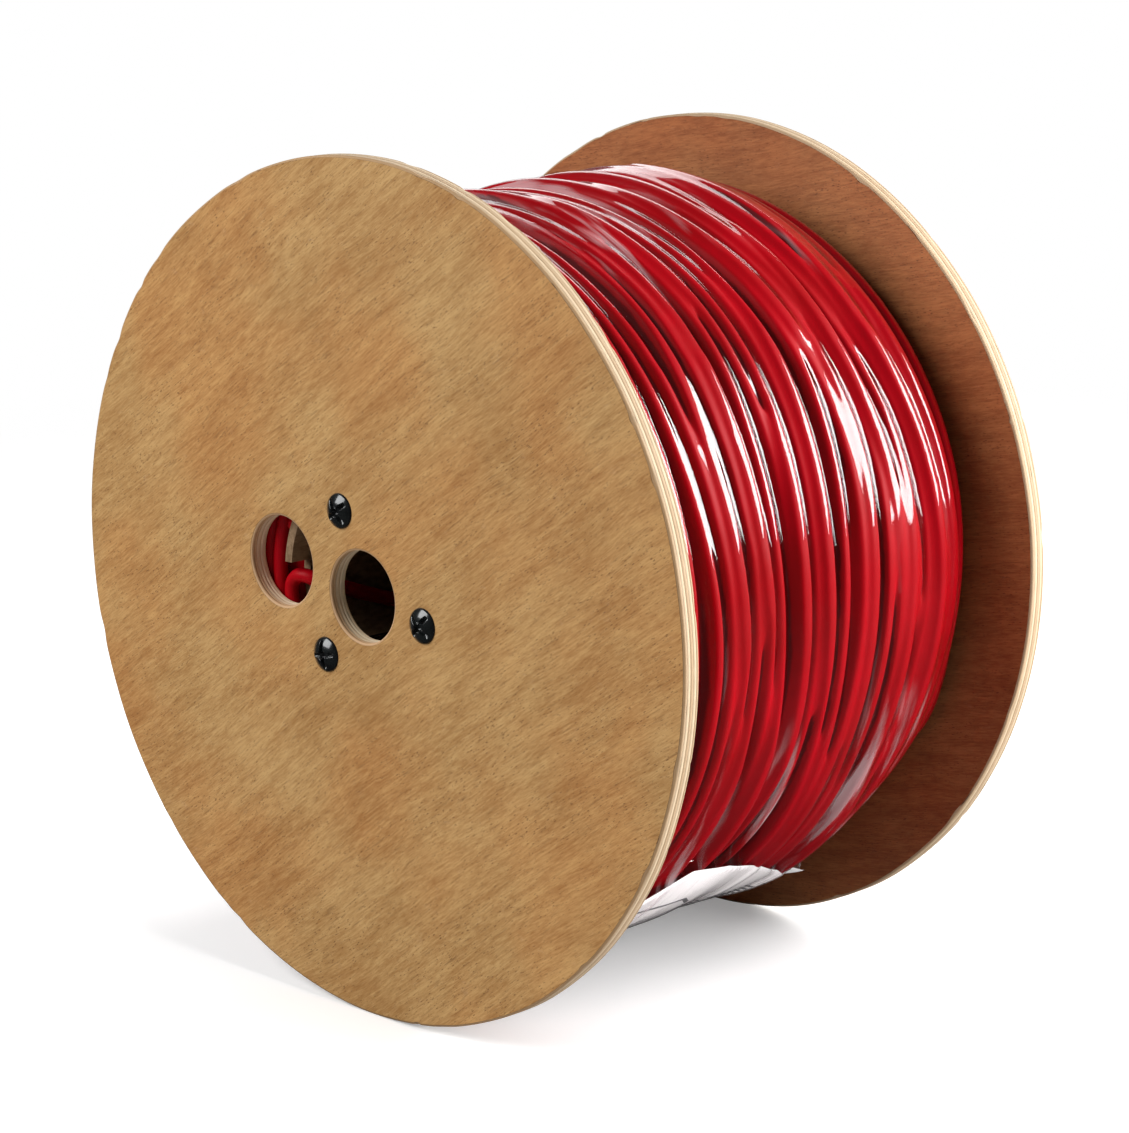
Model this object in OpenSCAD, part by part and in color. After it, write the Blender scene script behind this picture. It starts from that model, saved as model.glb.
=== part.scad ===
// Wire spool: plywood flanges clamped on a fibre tube by three tie bolts, wound with
// two-conductor cable and wrapped in film. Axis along Y, front flange at -Y, +Z up.

/* [Flanges] */
// Flange diameter (14 in), mm
flange_d = 355.6; // [300:0.1:460]
// Flange thickness (5/16 in board), mm
flange_t = 8; // [6:0.5:13]
// Clear width between the flanges, mm
traverse = 200; // [150:1:260]
// Arbor hole diameter (1.5 in), mm
arbor_d = 38.1; // [25:0.1:52]
// Start hole diameter, mm
start_d = 38.1; // [20:0.1:45]
// Start hole distance from the axis, mm
start_r = 50; // [44:0.5:60]
// Start hole direction from +X, degrees
start_a = 171; // [0:1:359]
// Rounding of the flange rims, mm
rim_ease = 0.8; // [0.2:0.1:2]

/* [Core tube] */
// Tube outside diameter, mm
tube_d = 108; // [100:1:140]
// Tube wall, mm
tube_wall = 4; // [2.5:0.5:6]
// Depth of the groove that seats the tube in each flange, mm
groove_depth = 2.5; // [1.5:0.1:3.5]
// Width of the notch for the cable's inner end, mm
notch_w = 21; // [16:1:30]
// Depth of that notch inside the flange face, mm
notch_depth = 8; // [7:0.5:12]

/* [Tie bolts] */
// Bolt circle radius, mm
bolt_r = 36; // [30:0.5:40]
// Direction of the first bolt, degrees
bolt_a = 110; // [0:1:119]
// Bolt shank diameter (1/4 in), mm
bolt_d = 6.35; // [5:0.05:8]
// Bolt head diameter, mm
head_d = 14.8; // [12:0.1:17]
// Bolt head height, mm
head_h = 3.6; // [2.5:0.1:5]
// Depth the head beds into the board, mm
head_bed = 0.5; // [0.2:0.1:1]
// Width of a recess arm, mm
recess_w = 2; // [1:0.1:2.5]
// Length across the recess arms, mm
recess_l = 10; // [6:0.5:12]
// Depth of the recess arms, mm
recess_depth = 1.8; // [1:0.1:2.4]

/* [Tee nuts] */
// Tee nut flange diameter, mm
tee_d = 19; // [16:0.5:22]
// Tee nut flange thickness, mm
tee_t = 1.4; // [1:0.1:2]
// Tee nut barrel diameter, mm
tee_barrel_d = 7.9; // [7.4:0.1:9]
// Tee nut prong length, mm
prong_l = 5; // [3:0.5:6.5]

/* [Cable] */
// Cable diameter, mm
cable_d = 6.2; // [5:0.1:8]
// Conductor sleeve diameter, mm
sleeve_d = 2.5; // [2:0.1:3]
// Copper diameter (14 AWG), mm
copper_d = 1.63; // [1:0.01:2.1]
// Winding radius against the front flange, mm
wind_r_front = 151; // [120:1:165]
// Winding radius at the crown, mm
wind_r_crown = 158.5; // [130:1:170]
// Winding radius against the rear flange, mm
wind_r_rear = 148; // [120:1:165]
// Arc of the outer end that lies free in its lane, degrees
outer_arc = 62; // [30:1:120]

/* [Film and label] */
// Film thickness, several wraps together, mm
film_t = 0.4; // [0.2:0.1:1]
// Gap between the winding and the film, mm
film_gap = 0.5; // [0.4:0.1:1]
// Label width along the axis, mm
label_w = 156; // [60:1:180]
// Label arc, degrees
label_arc = 54; // [20:1:90]
// Label thickness, mm
label_t = 0.25; // [0.2:0.05:0.4]

/* [Hidden] */
$fn = 96;

half_in = traverse / 2;
half_out = half_in + flange_t;
tube_ro = tube_d / 2;
tube_ri = tube_ro - tube_wall;
groove_slack = 0.1;
over = 1;
board = "BurlyWood";
cable_red = "FireBrick";
black_steel = "DimGray";

// Radii of the winding from the front flange to the rear one, as [radius, y].
wind_edge = [
  [wind_r_front, -half_in + 0.2], [wind_r_front + 4, -78], [wind_r_crown - 1, -45],
  [wind_r_crown, 0], [wind_r_crown + 0.5, 45], [wind_r_crown - 2, 75],
  [wind_r_rear + 3.5, 92], [wind_r_rear, half_in - 0.2]
];

// Turns a solid made along +Z so that it runs along +Y.
module along_y() rotate([-90, 0, 0]) children();

// Puts children at a bolt's place, in the plane of the flanges.
module at_bolt(i) rotate([0, -(bolt_a + 120 * i), 0]) translate([bolt_r, 0, 0]) children();

// A cylinder along +Y from y0 to y1.
module rod_y(r, y0, y1) translate([0, y0, 0]) along_y() cylinder(r = r, h = y1 - y0);

module board_disc(y0, y1) {
  along_y() rotate_extrude() polygon([
    [0, y0], [flange_d / 2 - rim_ease, y0], [flange_d / 2, y0 + rim_ease],
    [flange_d / 2, y1 - rim_ease], [flange_d / 2 - rim_ease, y1], [0, y1]
  ]);
}

module tube_groove(y0, y1) {
  difference() {
    rod_y(tube_ro + groove_slack, y0, y1);
    rod_y(tube_ri - groove_slack, y0 - over, y1 + over);
  }
}

module front_flange() {
  color(board) difference() {
    board_disc(-half_out, -half_in);
    rod_y(arbor_d / 2, -half_out - over, -half_in + over);
    rotate([0, -start_a, 0]) translate([start_r, 0, 0])
      rod_y(start_d / 2, -half_out - over, -half_in + over);
    tube_groove(-half_in - groove_depth, -half_in + over);
    for (i = [0:2]) at_bolt(i) {
      rod_y(bolt_d / 2 + 0.2, -half_out - over, -half_in + over);
      rod_y(head_d / 2, -half_out - over, -half_out + head_bed);
    }
  }
}

module rear_flange() {
  color(board) difference() {
    board_disc(half_in, half_out);
    rod_y(arbor_d / 2, half_in - over, half_out + over);
    tube_groove(half_in - over, half_in + groove_depth);
    for (i = [0:2]) at_bolt(i) {
      rod_y(tee_barrel_d / 2 + 0.05, half_in - over, half_out + over);
      prongs(0.05);
    }
  }
}

module core_tube() {
  color("Peru") difference() {
    rod_y(tube_ro, -half_in - groove_depth, half_in + groove_depth);
    rod_y(tube_ri, -half_in - groove_depth - over, half_in + groove_depth + over);
    translate([-tube_ro - over, -half_in - groove_depth - over, 6 - notch_w])
      cube([tube_wall * 3, groove_depth + over + notch_depth, notch_w]);
  }
}

// One bolt: domed head with a cross recess outside the front flange, shank to the tee nut.
module tie_bolt(turn) {
  seat = -half_out + head_bed;
  dome_r = (pow(head_d / 2, 2) + pow(head_h, 2)) / (2 * head_h);
  difference() {
    union() {
      intersection() {
        translate([0, seat - head_h + dome_r, 0]) sphere(r = dome_r);
        rod_y(head_d / 2 + over, seat - head_h - over, seat);
      }
      rod_y(bolt_d / 2, seat - 0.5, half_out + tee_t + 1.5);
    }
    for (a = [0, 90]) rotate([0, turn + a, 0])
      translate([-recess_l / 2, seat - head_h - over, -recess_w / 2])
        cube([recess_l, recess_depth + over, recess_w]);
    translate([0, seat - head_h - 0.2, 0]) along_y() cylinder(r1 = 2.4, r2 = 0.9, h = 3.2);
  }
}

// Four prongs cut and bent from the tee nut's flange, driven into the board.
module prongs(slack) {
  for (a = [45:90:315]) rotate([0, a, 0])
    translate([tee_d / 2 - 2.4 - slack, half_out - prong_l - slack, -1.2 - slack])
      cube([1.2 + 2 * slack, prong_l + slack + 0.1, 2.4 + 2 * slack]);
}

module tee_nut() {
  difference() {
    union() {
      rod_y(tee_d / 2, half_out, half_out + tee_t);
      rod_y(tee_barrel_d / 2, half_in + 1, half_out + 0.2);
      prongs(0);
    }
    rod_y(bolt_d / 2 + 0.03, half_in, half_out + tee_t + over);
  }
}

// The pack of turns, with a pocket for the inner end and a lane for the outer one.
module cable_winding() {
  color(cable_red) difference() {
    along_y() rotate_extrude()
      polygon(concat([[tube_ro + 0.05, half_in - 0.2], [tube_ro + 0.05, -half_in + 0.2]], wind_edge));
    translate([-62, -half_in, -31]) cube([14, 8, 40]);
    lane();
  }
}

lane_y = 62;
lane_r = wind_r_crown - 4.4;
lane_a = 96;
bare_sleeve = 6;
bare_copper = 4;

// The open lane in the last layer where the outer end lies.
module lane() {
  translate([0, lane_y, 0]) rotate([0, -lane_a, 0]) arc_y(outer_arc + bare_sleeve + bare_copper + 2)
    translate([lane_r - cable_d / 2 - 0.1, -cable_d / 2 - 0.1])
      square([cable_d * 2, cable_d + 0.2]);
}

// Sweeps a profile (x = radius, y = along the axis) through an angle about the spool's axis.
module arc_y(angle) rotate([90, 0, 0]) mirror([0, 0, 1]) rotate_extrude(angle = angle) children();

module arc_rod(r, offset_y, from_a, to_a, rod_r) {
  translate([0, lane_y, 0]) rotate([0, -lane_a - from_a, 0]) arc_y(to_a - from_a)
    translate([r, offset_y]) circle(r = rod_r);
}

conductor_y = [-1.3, 1.3];

module outer_end_jacket() {
  color(cable_red) difference() {
    arc_rod(lane_r, 0, 0.5, outer_arc, cable_d / 2);
    for (y = conductor_y) arc_rod(lane_r, y, 0, outer_arc + 1, sleeve_d / 2);
  }
}

module outer_end_sleeve(i, tint) {
  color(tint) difference() {
    arc_rod(lane_r, conductor_y[i], 0.5, outer_arc + bare_sleeve, sleeve_d / 2);
    arc_rod(lane_r, conductor_y[i], 0, outer_arc + bare_sleeve + 1, copper_d / 2);
  }
}

module outer_end_copper(i) {
  color("Chocolate")
    arc_rod(lane_r, conductor_y[i], 0.5, outer_arc + bare_sleeve + bare_copper, copper_d / 2);
}

// Route of the cable's inner end: up beside the flange, through the notch, back along the core.
tail_way = [
  [-51.6, -96.7, -24.4], [-54.6, -96.7, -17], [-56.6, -96.7, -10], [-56.2, -96.6, -4.6],
  [-53, -96.5, -1.2], [-48.4, -96.2, -0.4], [-44.4, -94, -1.8], [-42.4, -88.5, -4.2],
  [-42.2, -80, -7.5], [-42.6, -68, -12], [-42.4, -55, -16.5], [-41.2, -42, -20.5],
  [-39.8, -30, -24]
];
tail_sides = 12;
tail_steps = 5;

function mix3(a, b, c, d, t) = 0.5 * ((2 * b) + (c - a) * t + (2 * a - 5 * b + 4 * c - d) * t * t
  + (3 * b - a - 3 * c + d) * t * t * t);
function tail_at(i, t) = mix3(
  tail_way[max(i - 1, 0)], tail_way[i], tail_way[i + 1],
  tail_way[min(i + 2, len(tail_way) - 1)], t);
tail_line = concat(
  [for (i = [0:len(tail_way) - 2], s = [0:tail_steps - 1]) tail_at(i, s / tail_steps)],
  [tail_way[len(tail_way) - 1]]);
function unit(v) = v / norm(v);
function heading(line, i) = unit(line[min(i + 1, len(line) - 1)] - line[max(i - 1, 0)]);
function side_of(d) = unit(cross(d, [1, 1, 1]));
function ring_at(p, d, r, n) = [
  for (k = [0:n - 1]) p + r * (cos(360 * k / n) * side_of(d) + sin(360 * k / n) * cross(d, side_of(d)))
];

// A round cord along a line of points, closed at both ends.
module cord(line, r, n) {
  rings = len(line);
  pts = [for (i = [0:rings - 1]) each ring_at(line[i], heading(line, i), r, n)];
  skin = [for (i = [0:rings - 2], k = [0:n - 1])
    [i * n + k, i * n + (k + 1) % n, (i + 1) * n + (k + 1) % n, (i + 1) * n + k]];
  polyhedron(
    points = pts,
    faces = concat([[for (k = [n - 1:-1:0]) k]], skin, [[for (k = [0:n - 1]) (rings - 1) * n + k]]),
    convexity = 8);
}

module start_end_jacket() {
  color(cable_red) cord([for (i = [len(tail_line) - 1:-1:0]) tail_line[i]], cable_d / 2, tail_sides);
}

tail_tip = tail_way[len(tail_way) - 1];
tail_dir = unit(tail_way[len(tail_way) - 1] - tail_way[len(tail_way) - 2]);
start_bare = 15;
start_copper = 9;

// Puts children on the cut end of the inner cable, +Z along the conductor.
module at_tip(i) {
  splay = i == 0 ? -7 : 7;
  translate(tail_tip + tail_dir * 0.3)
    rotate([-90 + asin(-tail_dir[2]), 0, 0])
      translate([i == 0 ? -1.35 : 1.35, 0, 0]) rotate([0, splay, 0]) children();
}

module start_end_sleeve(i, tint) {
  color(tint) at_tip(i) difference() {
    cylinder(d = sleeve_d, h = start_bare);
    translate([0, 0, -over]) cylinder(d = copper_d, h = start_bare + 2 * over);
  }
}

module start_end_copper(i) {
  color("Chocolate") at_tip(i) cylinder(d = copper_d, h = start_bare + start_copper);
}

module stretch_film() {
  inner = [for (p = wind_edge) [p[0] + film_gap, p[1]]];
  outer = [for (i = [len(wind_edge) - 1:-1:0]) [wind_edge[i][0] + film_gap + film_t, wind_edge[i][1]]];
  color("LightPink", 0.5) along_y() rotate_extrude() polygon(concat(inner, outer));
}

label_mid = 2;
label_a = -100;
label_ends = [label_mid - label_w / 2, label_mid + label_w / 2];

function wind_r_at(y) = lookup(y, [for (p = wind_edge) [p[1], p[0]]]);

module paper_label() {
  gap = 0.1;
  between = [for (p = wind_edge) if (p[1] > label_ends[0] && p[1] < label_ends[1]) p[1]];
  ys = concat([label_ends[0]], between, [label_ends[1]]);
  low = [for (y = ys) [wind_r_at(y) + gap, y]];
  high = [for (i = [len(low) - 1:-1:0]) [low[i][0] + label_t, low[i][1]]];
  color("White") rotate([0, -label_a, 0]) arc_y(label_arc) polygon(concat(low, high));
}

front_flange();
rear_flange();
core_tube();
color(black_steel) at_bolt(0) tie_bolt(30);  // tie_bolt_1
color(black_steel) at_bolt(1) tie_bolt(10);  // tie_bolt_2
color(black_steel) at_bolt(2) tie_bolt(55);  // tie_bolt_3
color("Silver") at_bolt(0) tee_nut();  // tee_nut_1
color("Silver") at_bolt(1) tee_nut();  // tee_nut_2
color("Silver") at_bolt(2) tee_nut();  // tee_nut_3
cable_winding();
start_end_jacket();
start_end_sleeve(0, "Black");  // start_end_sleeve_a
start_end_sleeve(1, "Red");  // start_end_sleeve_b
start_end_copper(0);  // start_end_copper_a
start_end_copper(1);  // start_end_copper_b
outer_end_jacket();
outer_end_sleeve(0, "Black");  // outer_end_sleeve_a
outer_end_sleeve(1, "Red");  // outer_end_sleeve_b
outer_end_copper(0);  // outer_end_copper_a
outer_end_copper(1);  // outer_end_copper_b
stretch_film();
paper_label();
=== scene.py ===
"""Wire spool: two plywood flanges on a fibre tube, three tie bolts, a red cable winding
under clear stretch film, and a paper label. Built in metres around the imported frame:
axis along Y, front flange at -Y, +Z up."""

import logging
import math
from dataclasses import dataclass, field
from enum import Enum

import bpy
import numpy as np
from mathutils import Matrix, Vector
from mathutils.geometry import tessellate_polygon


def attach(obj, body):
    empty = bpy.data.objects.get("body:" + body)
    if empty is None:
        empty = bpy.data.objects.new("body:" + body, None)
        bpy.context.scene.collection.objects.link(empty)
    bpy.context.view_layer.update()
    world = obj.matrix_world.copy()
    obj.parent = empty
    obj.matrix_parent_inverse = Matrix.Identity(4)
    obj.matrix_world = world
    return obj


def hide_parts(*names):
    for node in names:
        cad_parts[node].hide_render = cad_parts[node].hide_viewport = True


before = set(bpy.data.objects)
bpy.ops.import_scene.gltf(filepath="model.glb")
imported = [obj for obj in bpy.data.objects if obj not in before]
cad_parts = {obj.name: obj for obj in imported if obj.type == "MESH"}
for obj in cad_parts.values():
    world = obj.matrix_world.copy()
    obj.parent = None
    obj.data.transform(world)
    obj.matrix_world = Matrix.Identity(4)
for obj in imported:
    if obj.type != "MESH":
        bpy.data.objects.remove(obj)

logging.basicConfig(level=logging.INFO, format="%(message)s")
log = logging.getLogger("wire_spool")

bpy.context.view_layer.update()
TAU = 2 * math.pi
MM = 0.001
BODY = "root"

FLANGE_R = 0.1778
BOARD_T = 0.008
OUTER_Y = 0.108
CABLE_D = 0.0062
SLEEVE_D = 0.0025
COPPER_D = 0.00163
WOUND_R = 0.158
FILM_T = 0.0004
PLIES = 5
ARBOR_R = 0.01905
START_HOLE_AT = (0.05, 171.0)
BOLT_CIRCLE_R = 0.036
# number, angle about the axis and turn of the head, degrees
BOLTS = ((1, 110.0, 38.0), (2, 230.0, 10.0), (3, 350.0, 48.0))


def tone(red: float, green: float, blue: float) -> tuple[float, float, float, float]:
    """Turns an sRGB colour given in 0 to 255 into the linear colour a shader takes.

    Args:
        red, green, blue: the colour's parts, 0 to 255.

    Returns:
        Linear red, green, blue and an alpha of 1.
    """

    def linear(part: float) -> float:
        """One channel to linear light."""
        share = part / 255
        return share / 12.92 if share <= 0.04045 else ((share + 0.055) / 1.055) ** 2.4

    return linear(red), linear(green), linear(blue), 1.0


# ---------------------------------------------------------------- mesh making


@dataclass
class Shell:
    """Points and faces of one piece while it is being made."""

    points: list = field(default_factory=list)
    faces: list = field(default_factory=list)
    uvs: list = field(default_factory=list)
    finish_of: list = field(default_factory=list)

    def add_points(self, points: np.ndarray) -> int:
        """Adds points (n, 3) and returns the number of the first one."""
        first = len(self.points)
        self.points.extend(map(tuple, np.asarray(points, float).tolist()))
        return first

    def add_face(self, corners: list, uv: list | None = None, finish: int = 0) -> None:
        """Adds one face with its corners' texture places and its finish's number."""
        self.faces.append(corners)
        self.uvs.append(uv or [(0.0, 0.0)] * len(corners))
        self.finish_of.append(finish)

    def add_grid(
        self,
        points: np.ndarray,
        wrap_rows: bool = False,
        wrap_cols: bool = False,
        uv: np.ndarray | None = None,
        finish: int = 0,
        flip: bool = False,
    ) -> int:
        """Adds a grid of points (rows, cols, 3) joined by four-sided faces.

        Args:
            points: the grid.
            wrap_rows: joins the last row to the first.
            wrap_cols: joins the last column to the first.
            uv: texture places (rows + 1, cols + 1, 2), so that a wrap has its own.
            finish: the finish's number.
            flip: turns the faces over.

        Returns:
            The number of the grid's first point.
        """
        rows, cols = points.shape[:2]
        first = self.add_points(points.reshape(-1, 3))
        row_n = rows if wrap_rows else rows - 1
        col_n = cols if wrap_cols else cols - 1
        i, j = np.meshgrid(np.arange(row_n), np.arange(col_n), indexing="ij")
        i, j = i.ravel(), j.ravel()
        i2, j2 = (i + 1) % rows, (j + 1) % cols
        quad = np.stack(
            [i * cols + j, i * cols + j2, i2 * cols + j2, i2 * cols + j], axis=1
        )
        order = [3, 2, 1, 0] if flip else [0, 1, 2, 3]
        self.faces.extend((quad[:, order] + first).tolist())
        if uv is None:
            self.uvs.extend([[(0.0, 0.0)] * 4] * len(quad))
        else:
            places = np.stack([uv[i, j], uv[i, j + 1], uv[i + 1, j + 1], uv[i + 1, j]], 1)
            self.uvs.extend(places[:, order].tolist())
        self.finish_of.extend([finish] * len(quad))
        return first

    def build(self, name: str, smooth: bool = True) -> bpy.types.Object:
        """Makes the Blender object of this shell.

        Args:
            name: the piece's name.
            smooth: shades the faces smooth.

        Returns:
            The new object, linked to the scene.
        """
        mesh = bpy.data.meshes.new(name)
        mesh.from_pydata(self.points, [], self.faces)
        layer = mesh.uv_layers.new(name="lay")
        flat = [part for face in self.uvs for corner in face for part in corner]
        layer.data.foreach_set("uv", flat)
        mesh.polygons.foreach_set("use_smooth", [smooth] * len(self.faces))
        mesh.update()
        piece = bpy.data.objects.new(name, mesh)
        bpy.context.scene.collection.objects.link(piece)
        return piece


def settle(
    piece: bpy.types.Object,
    finishes: list,
    stands_for: tuple[str, ...] = (),
    finish_of: list | None = None,
) -> bpy.types.Object:
    """Dresses a piece, joins it to the spool and logs it.

    Args:
        piece: the object.
        finishes: its materials in order.
        stands_for: the CAD nodes it replaces.
        finish_of: the material number of each face.

    Returns:
        The same object.
    """
    for finish in finishes:
        piece.data.materials.append(finish)
    if finish_of is not None:
        piece.data.polygons.foreach_set("material_index", finish_of)
    if stands_for:
        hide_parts(*stands_for)
    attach(piece, BODY)
    log.info("%s: %d faces", piece.name, len(piece.data.polygons))
    return piece


def full_turn(count: int) -> np.ndarray:
    """Even angles round a full turn, radians."""
    return np.linspace(0, TAU, count, endpoint=False)


def spot_at(radius: float, degrees: float) -> tuple[float, float]:
    """The X and Z of a place given by its radius and angle."""
    return radius * math.cos(math.radians(degrees)), radius * math.sin(math.radians(degrees))


def mark_points(piece: bpy.types.Object, name: str, values: np.ndarray) -> None:
    """Gives each point of a piece a number that its finish can read."""
    mark = piece.data.attributes.new(name, "FLOAT", "POINT")
    mark.data.foreach_set("value", values)


def bell(away: np.ndarray, width: float) -> np.ndarray:
    """A soft hump, 1 in the middle and gone some two widths away."""
    return np.exp(-((away / width) ** 2))


def around(radius: np.ndarray, y: np.ndarray, angle: np.ndarray) -> np.ndarray:
    """Points at a radius and an angle about the spool's axis.

    Args:
        radius: distance from the axis.
        y: place along the axis.
        angle: angle from +X towards +Z, radians.

    Returns:
        Points with a last axis of 3.
    """
    radius, y, angle = np.broadcast_arrays(radius, y, angle)
    return np.stack([radius * np.cos(angle), y, radius * np.sin(angle)], axis=-1)


def sweep(
    shell: Shell,
    line: np.ndarray,
    radius: float,
    sides: int,
    closed: bool = False,
    twist: float = 0.0,
    finish: int = 0,
    cap_finish: int = 0,
) -> None:
    """Sweeps a round cord along a line of points.

    Args:
        shell: where the faces go.
        line: the points (n, 3).
        radius: the cord's radius.
        sides: corners of its section.
        closed: joins the end to the start.
        twist: height of the faint two-lobed swell of the conductors inside.
        finish: the side's finish number.
        cap_finish: the cut ends' finish number.
    """
    count = len(line)
    if closed:
        heading = np.roll(line, -1, axis=0) - np.roll(line, 1, axis=0)
    else:
        heading = np.gradient(line, axis=0)
    heading /= np.linalg.norm(heading, axis=1)[:, None]
    across = np.zeros_like(line)
    start = np.cross(heading[0], (0.31, 0.87, 0.39))
    across[0] = start / np.linalg.norm(start)
    for i in range(1, count):
        side = across[i - 1] - heading[i] * np.dot(across[i - 1], heading[i])
        across[i] = side / np.linalg.norm(side)
    up = np.cross(heading, across)
    step = np.linalg.norm(np.diff(line, axis=0), axis=1)
    run = np.concatenate([[0], np.cumsum(step)])
    turn = full_turn(sides)
    swell = 1 + twist * np.cos(2 * (turn[None, :] - run[:, None] * TAU / 0.11))
    ring = across[:, None, :] * np.cos(turn)[None, :, None]
    ring = ring + up[:, None, :] * np.sin(turn)[None, :, None]
    points = line[:, None, :] + ring * (radius * swell)[:, :, None]
    rows = np.append(run, run[-1] + (np.linalg.norm(line[0] - line[-1]) if closed else 0))
    uv = np.zeros((len(rows), sides + 1, 2))
    uv[..., 0] = rows[:, None]
    uv[..., 1] = np.linspace(0, TAU * radius, sides + 1)[None, :]
    first = shell.add_grid(points, closed, True, uv, finish)
    if not closed:
        start_cap = [first + k for k in range(sides - 1, -1, -1)]
        end_cap = [first + (count - 1) * sides + k for k in range(sides)]
        shell.add_face(start_cap, finish=cap_finish)
        shell.add_face(end_cap, finish=cap_finish)


def smooth_line(stations: np.ndarray, steps: int) -> np.ndarray:
    """A smooth line through stations.

    Args:
        stations: the points (n, 3).
        steps: points made between two stations.

    Returns:
        The line's points.
    """
    padded = np.vstack([stations[:1], stations, stations[-1:]])
    share = np.linspace(0, 1, steps, endpoint=False)[:, None]
    parts = []
    for a, b, c, d in zip(padded, padded[1:], padded[2:], padded[3:]):
        parts.append(
            0.5
            * (
                2 * b
                + (c - a) * share
                + (2 * a - 5 * b + 4 * c - d) * share**2
                + (3 * b - a - 3 * c + d) * share**3
            )
        )
    return np.vstack(parts + [stations[-1:]])


def ripple(
    seed: int, angle: np.ndarray, place: np.ndarray, cycles: int, wave: float
) -> np.ndarray:
    """A smooth random field that closes round the spool, about -1 to 1.

    Args:
        seed: seed of its draws.
        angle: angles, radians.
        place: places along the axis, metres.
        cycles: most waves in one turn.
        wave: shortest wave along the axis, metres.

    Returns:
        The field's values.
    """
    rng = np.random.default_rng(seed)
    total = np.zeros(np.broadcast(angle, place).shape)
    parts = 14
    for _ in range(parts):
        around_n = rng.integers(1, cycles + 1)
        along = TAU / wave * rng.uniform(-1, 1)
        total += np.cos(around_n * angle + along * place + rng.uniform(0, TAU))
    return total / math.sqrt(parts / 2) / 1.6


def soft_step(share: np.ndarray) -> np.ndarray:
    """Holds a share within 0 to 1 and eases it at both ends."""
    share = np.clip(share, 0, 1)
    return share * share * (3 - 2 * share)


def even_out(field: np.ndarray, times: int, round_spool: bool = False) -> np.ndarray:
    """Evens out a field of (angles, rows).

    Args:
        field: the values.
        times: how often.
        round_spool: works round the spool, not along its axis.

    Returns:
        The evened values.
    """
    for _ in range(times):
        if round_spool:
            before, after = np.roll(field, 1, 0), np.roll(field, -1, 0)
        else:
            wide = np.pad(field, ((0, 0), (1, 1)), mode="edge")
            before, after = wide[:, :-2], wide[:, 2:]
        field = 0.25 * before + 0.5 * field + 0.25 * after
    return field


def stretch_over(below: np.ndarray, pulls: int, round_pulls: int) -> np.ndarray:
    """Stretches a skin over what lies below it.

    Args:
        below: radii (angles, rows) it can't go under.
        pulls: how often it is pulled across, which sets how far it bridges.
        round_pulls: pulls round the spool in each of those.

    Returns:
        The skin's radii.
    """
    skin = below.copy()
    for _ in range(pulls):
        skin = even_out(even_out(skin, 1), round_pulls, round_spool=True)
        skin = np.maximum(skin, below)
    return skin


# ---------------------------------------------------------------- node wiring


class Wiring:
    """Adds nodes to one node tree and joins them."""

    def __init__(self, tree: bpy.types.NodeTree) -> None:
        """Keeps the tree and clears it."""
        self.tree = tree
        tree.nodes.clear()

    def node(self, kind: str, ins: dict | None = None, **settings) -> bpy.types.Node:
        """Adds a node.

        Args:
            kind: the node's type after "ShaderNode".
            ins: values or sockets for its inputs, by name or number.
            settings: the node's own properties.

        Returns:
            The node.
        """
        made = self.tree.nodes.new("ShaderNode" + kind)
        for key, value in settings.items():
            setattr(made, key, value)
        self.fill(made, ins or {})
        return made

    def put(self, socket: bpy.types.NodeSocket, value) -> None:
        """Sets an input to a value, or joins it to an output."""
        if isinstance(value, bpy.types.NodeSocket):
            self.tree.links.new(value, socket)
        elif isinstance(value, bpy.types.Node):
            self.tree.links.new(value.outputs[0], socket)
        else:
            socket.default_value = value

    def math(self, kind: str, first, second=0.0, clamp: bool = False):
        """A sum on two numbers; returns its output."""
        made = self.node("Math", {0: first, 1: second}, operation=kind, use_clamp=clamp)
        return made.outputs[0]

    def add(self, first, second):
        """The sum of two numbers; returns its output."""
        return self.math("ADD", first, second)

    def take(self, first, second):
        """The first number less the second; returns its output."""
        return self.math("SUBTRACT", first, second)

    def times(self, first, second):
        """The product of two numbers; returns its output."""
        return self.math("MULTIPLY", first, second)

    def off(self, value, middle: float):
        """How far a number is from a middle; returns its output."""
        return self.math("ABSOLUTE", self.take(value, middle))

    def fill(self, node: bpy.types.Node, ins: dict) -> None:
        """Sets or joins several inputs of a node."""
        for key, value in ins.items():
            self.put(node.inputs[key], value)

    def scaled(self, vector, scale: tuple[float, float, float]):
        """A vector with each part multiplied; returns its output."""
        return self.vector("MULTIPLY", vector, scale)

    def vector(self, kind: str, first, second):
        """A sum on two vectors; returns its output."""
        return self.node("VectorMath", {0: first, 1: second}, operation=kind).outputs[0]

    def place(self, kind: str = "Object"):
        """The place on the surface that a pattern is drawn by; returns its output."""
        return self.node("TexCoord").outputs[kind]

    def split(self, vector) -> list:
        """The X, Y and Z outputs of a vector."""
        return list(self.node("SeparateXYZ", {0: vector}).outputs)

    def noise(self, vector, scale: float, detail: float = 3.0, rough: float = 0.5):
        """A noise value from 0 to 1; returns its output."""
        ins = {"Vector": vector, "Scale": scale, "Detail": detail, "Roughness": rough}
        return self.node("TexNoise", ins).outputs["Fac"]

    def between(self, value, low: float, high: float, a: float = 0.0, b: float = 1.0):
        """Takes low to high onto a to b with soft ends; returns its output."""
        ins = {"Value": value, 1: low, 2: high, 3: a, 4: b}
        made = self.node("MapRange", ins, interpolation_type="SMOOTHSTEP")
        return made.outputs[0]

    def blend(self, share, a, b, how: str = "MIX"):
        """Mixes two colours; returns the colour output."""
        made = self.node("Mix", data_type="RGBA", blend_type=how)
        self.fill(made, {0: share, 6: a, 7: b})
        return made.outputs[2]

    def bump(self, height, strength: float, distance: float):
        """A normal from a height; returns its output."""
        ins = {"Height": height, "Strength": strength, "Distance": distance}
        return self.node("Bump", ins).outputs[0]


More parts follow.
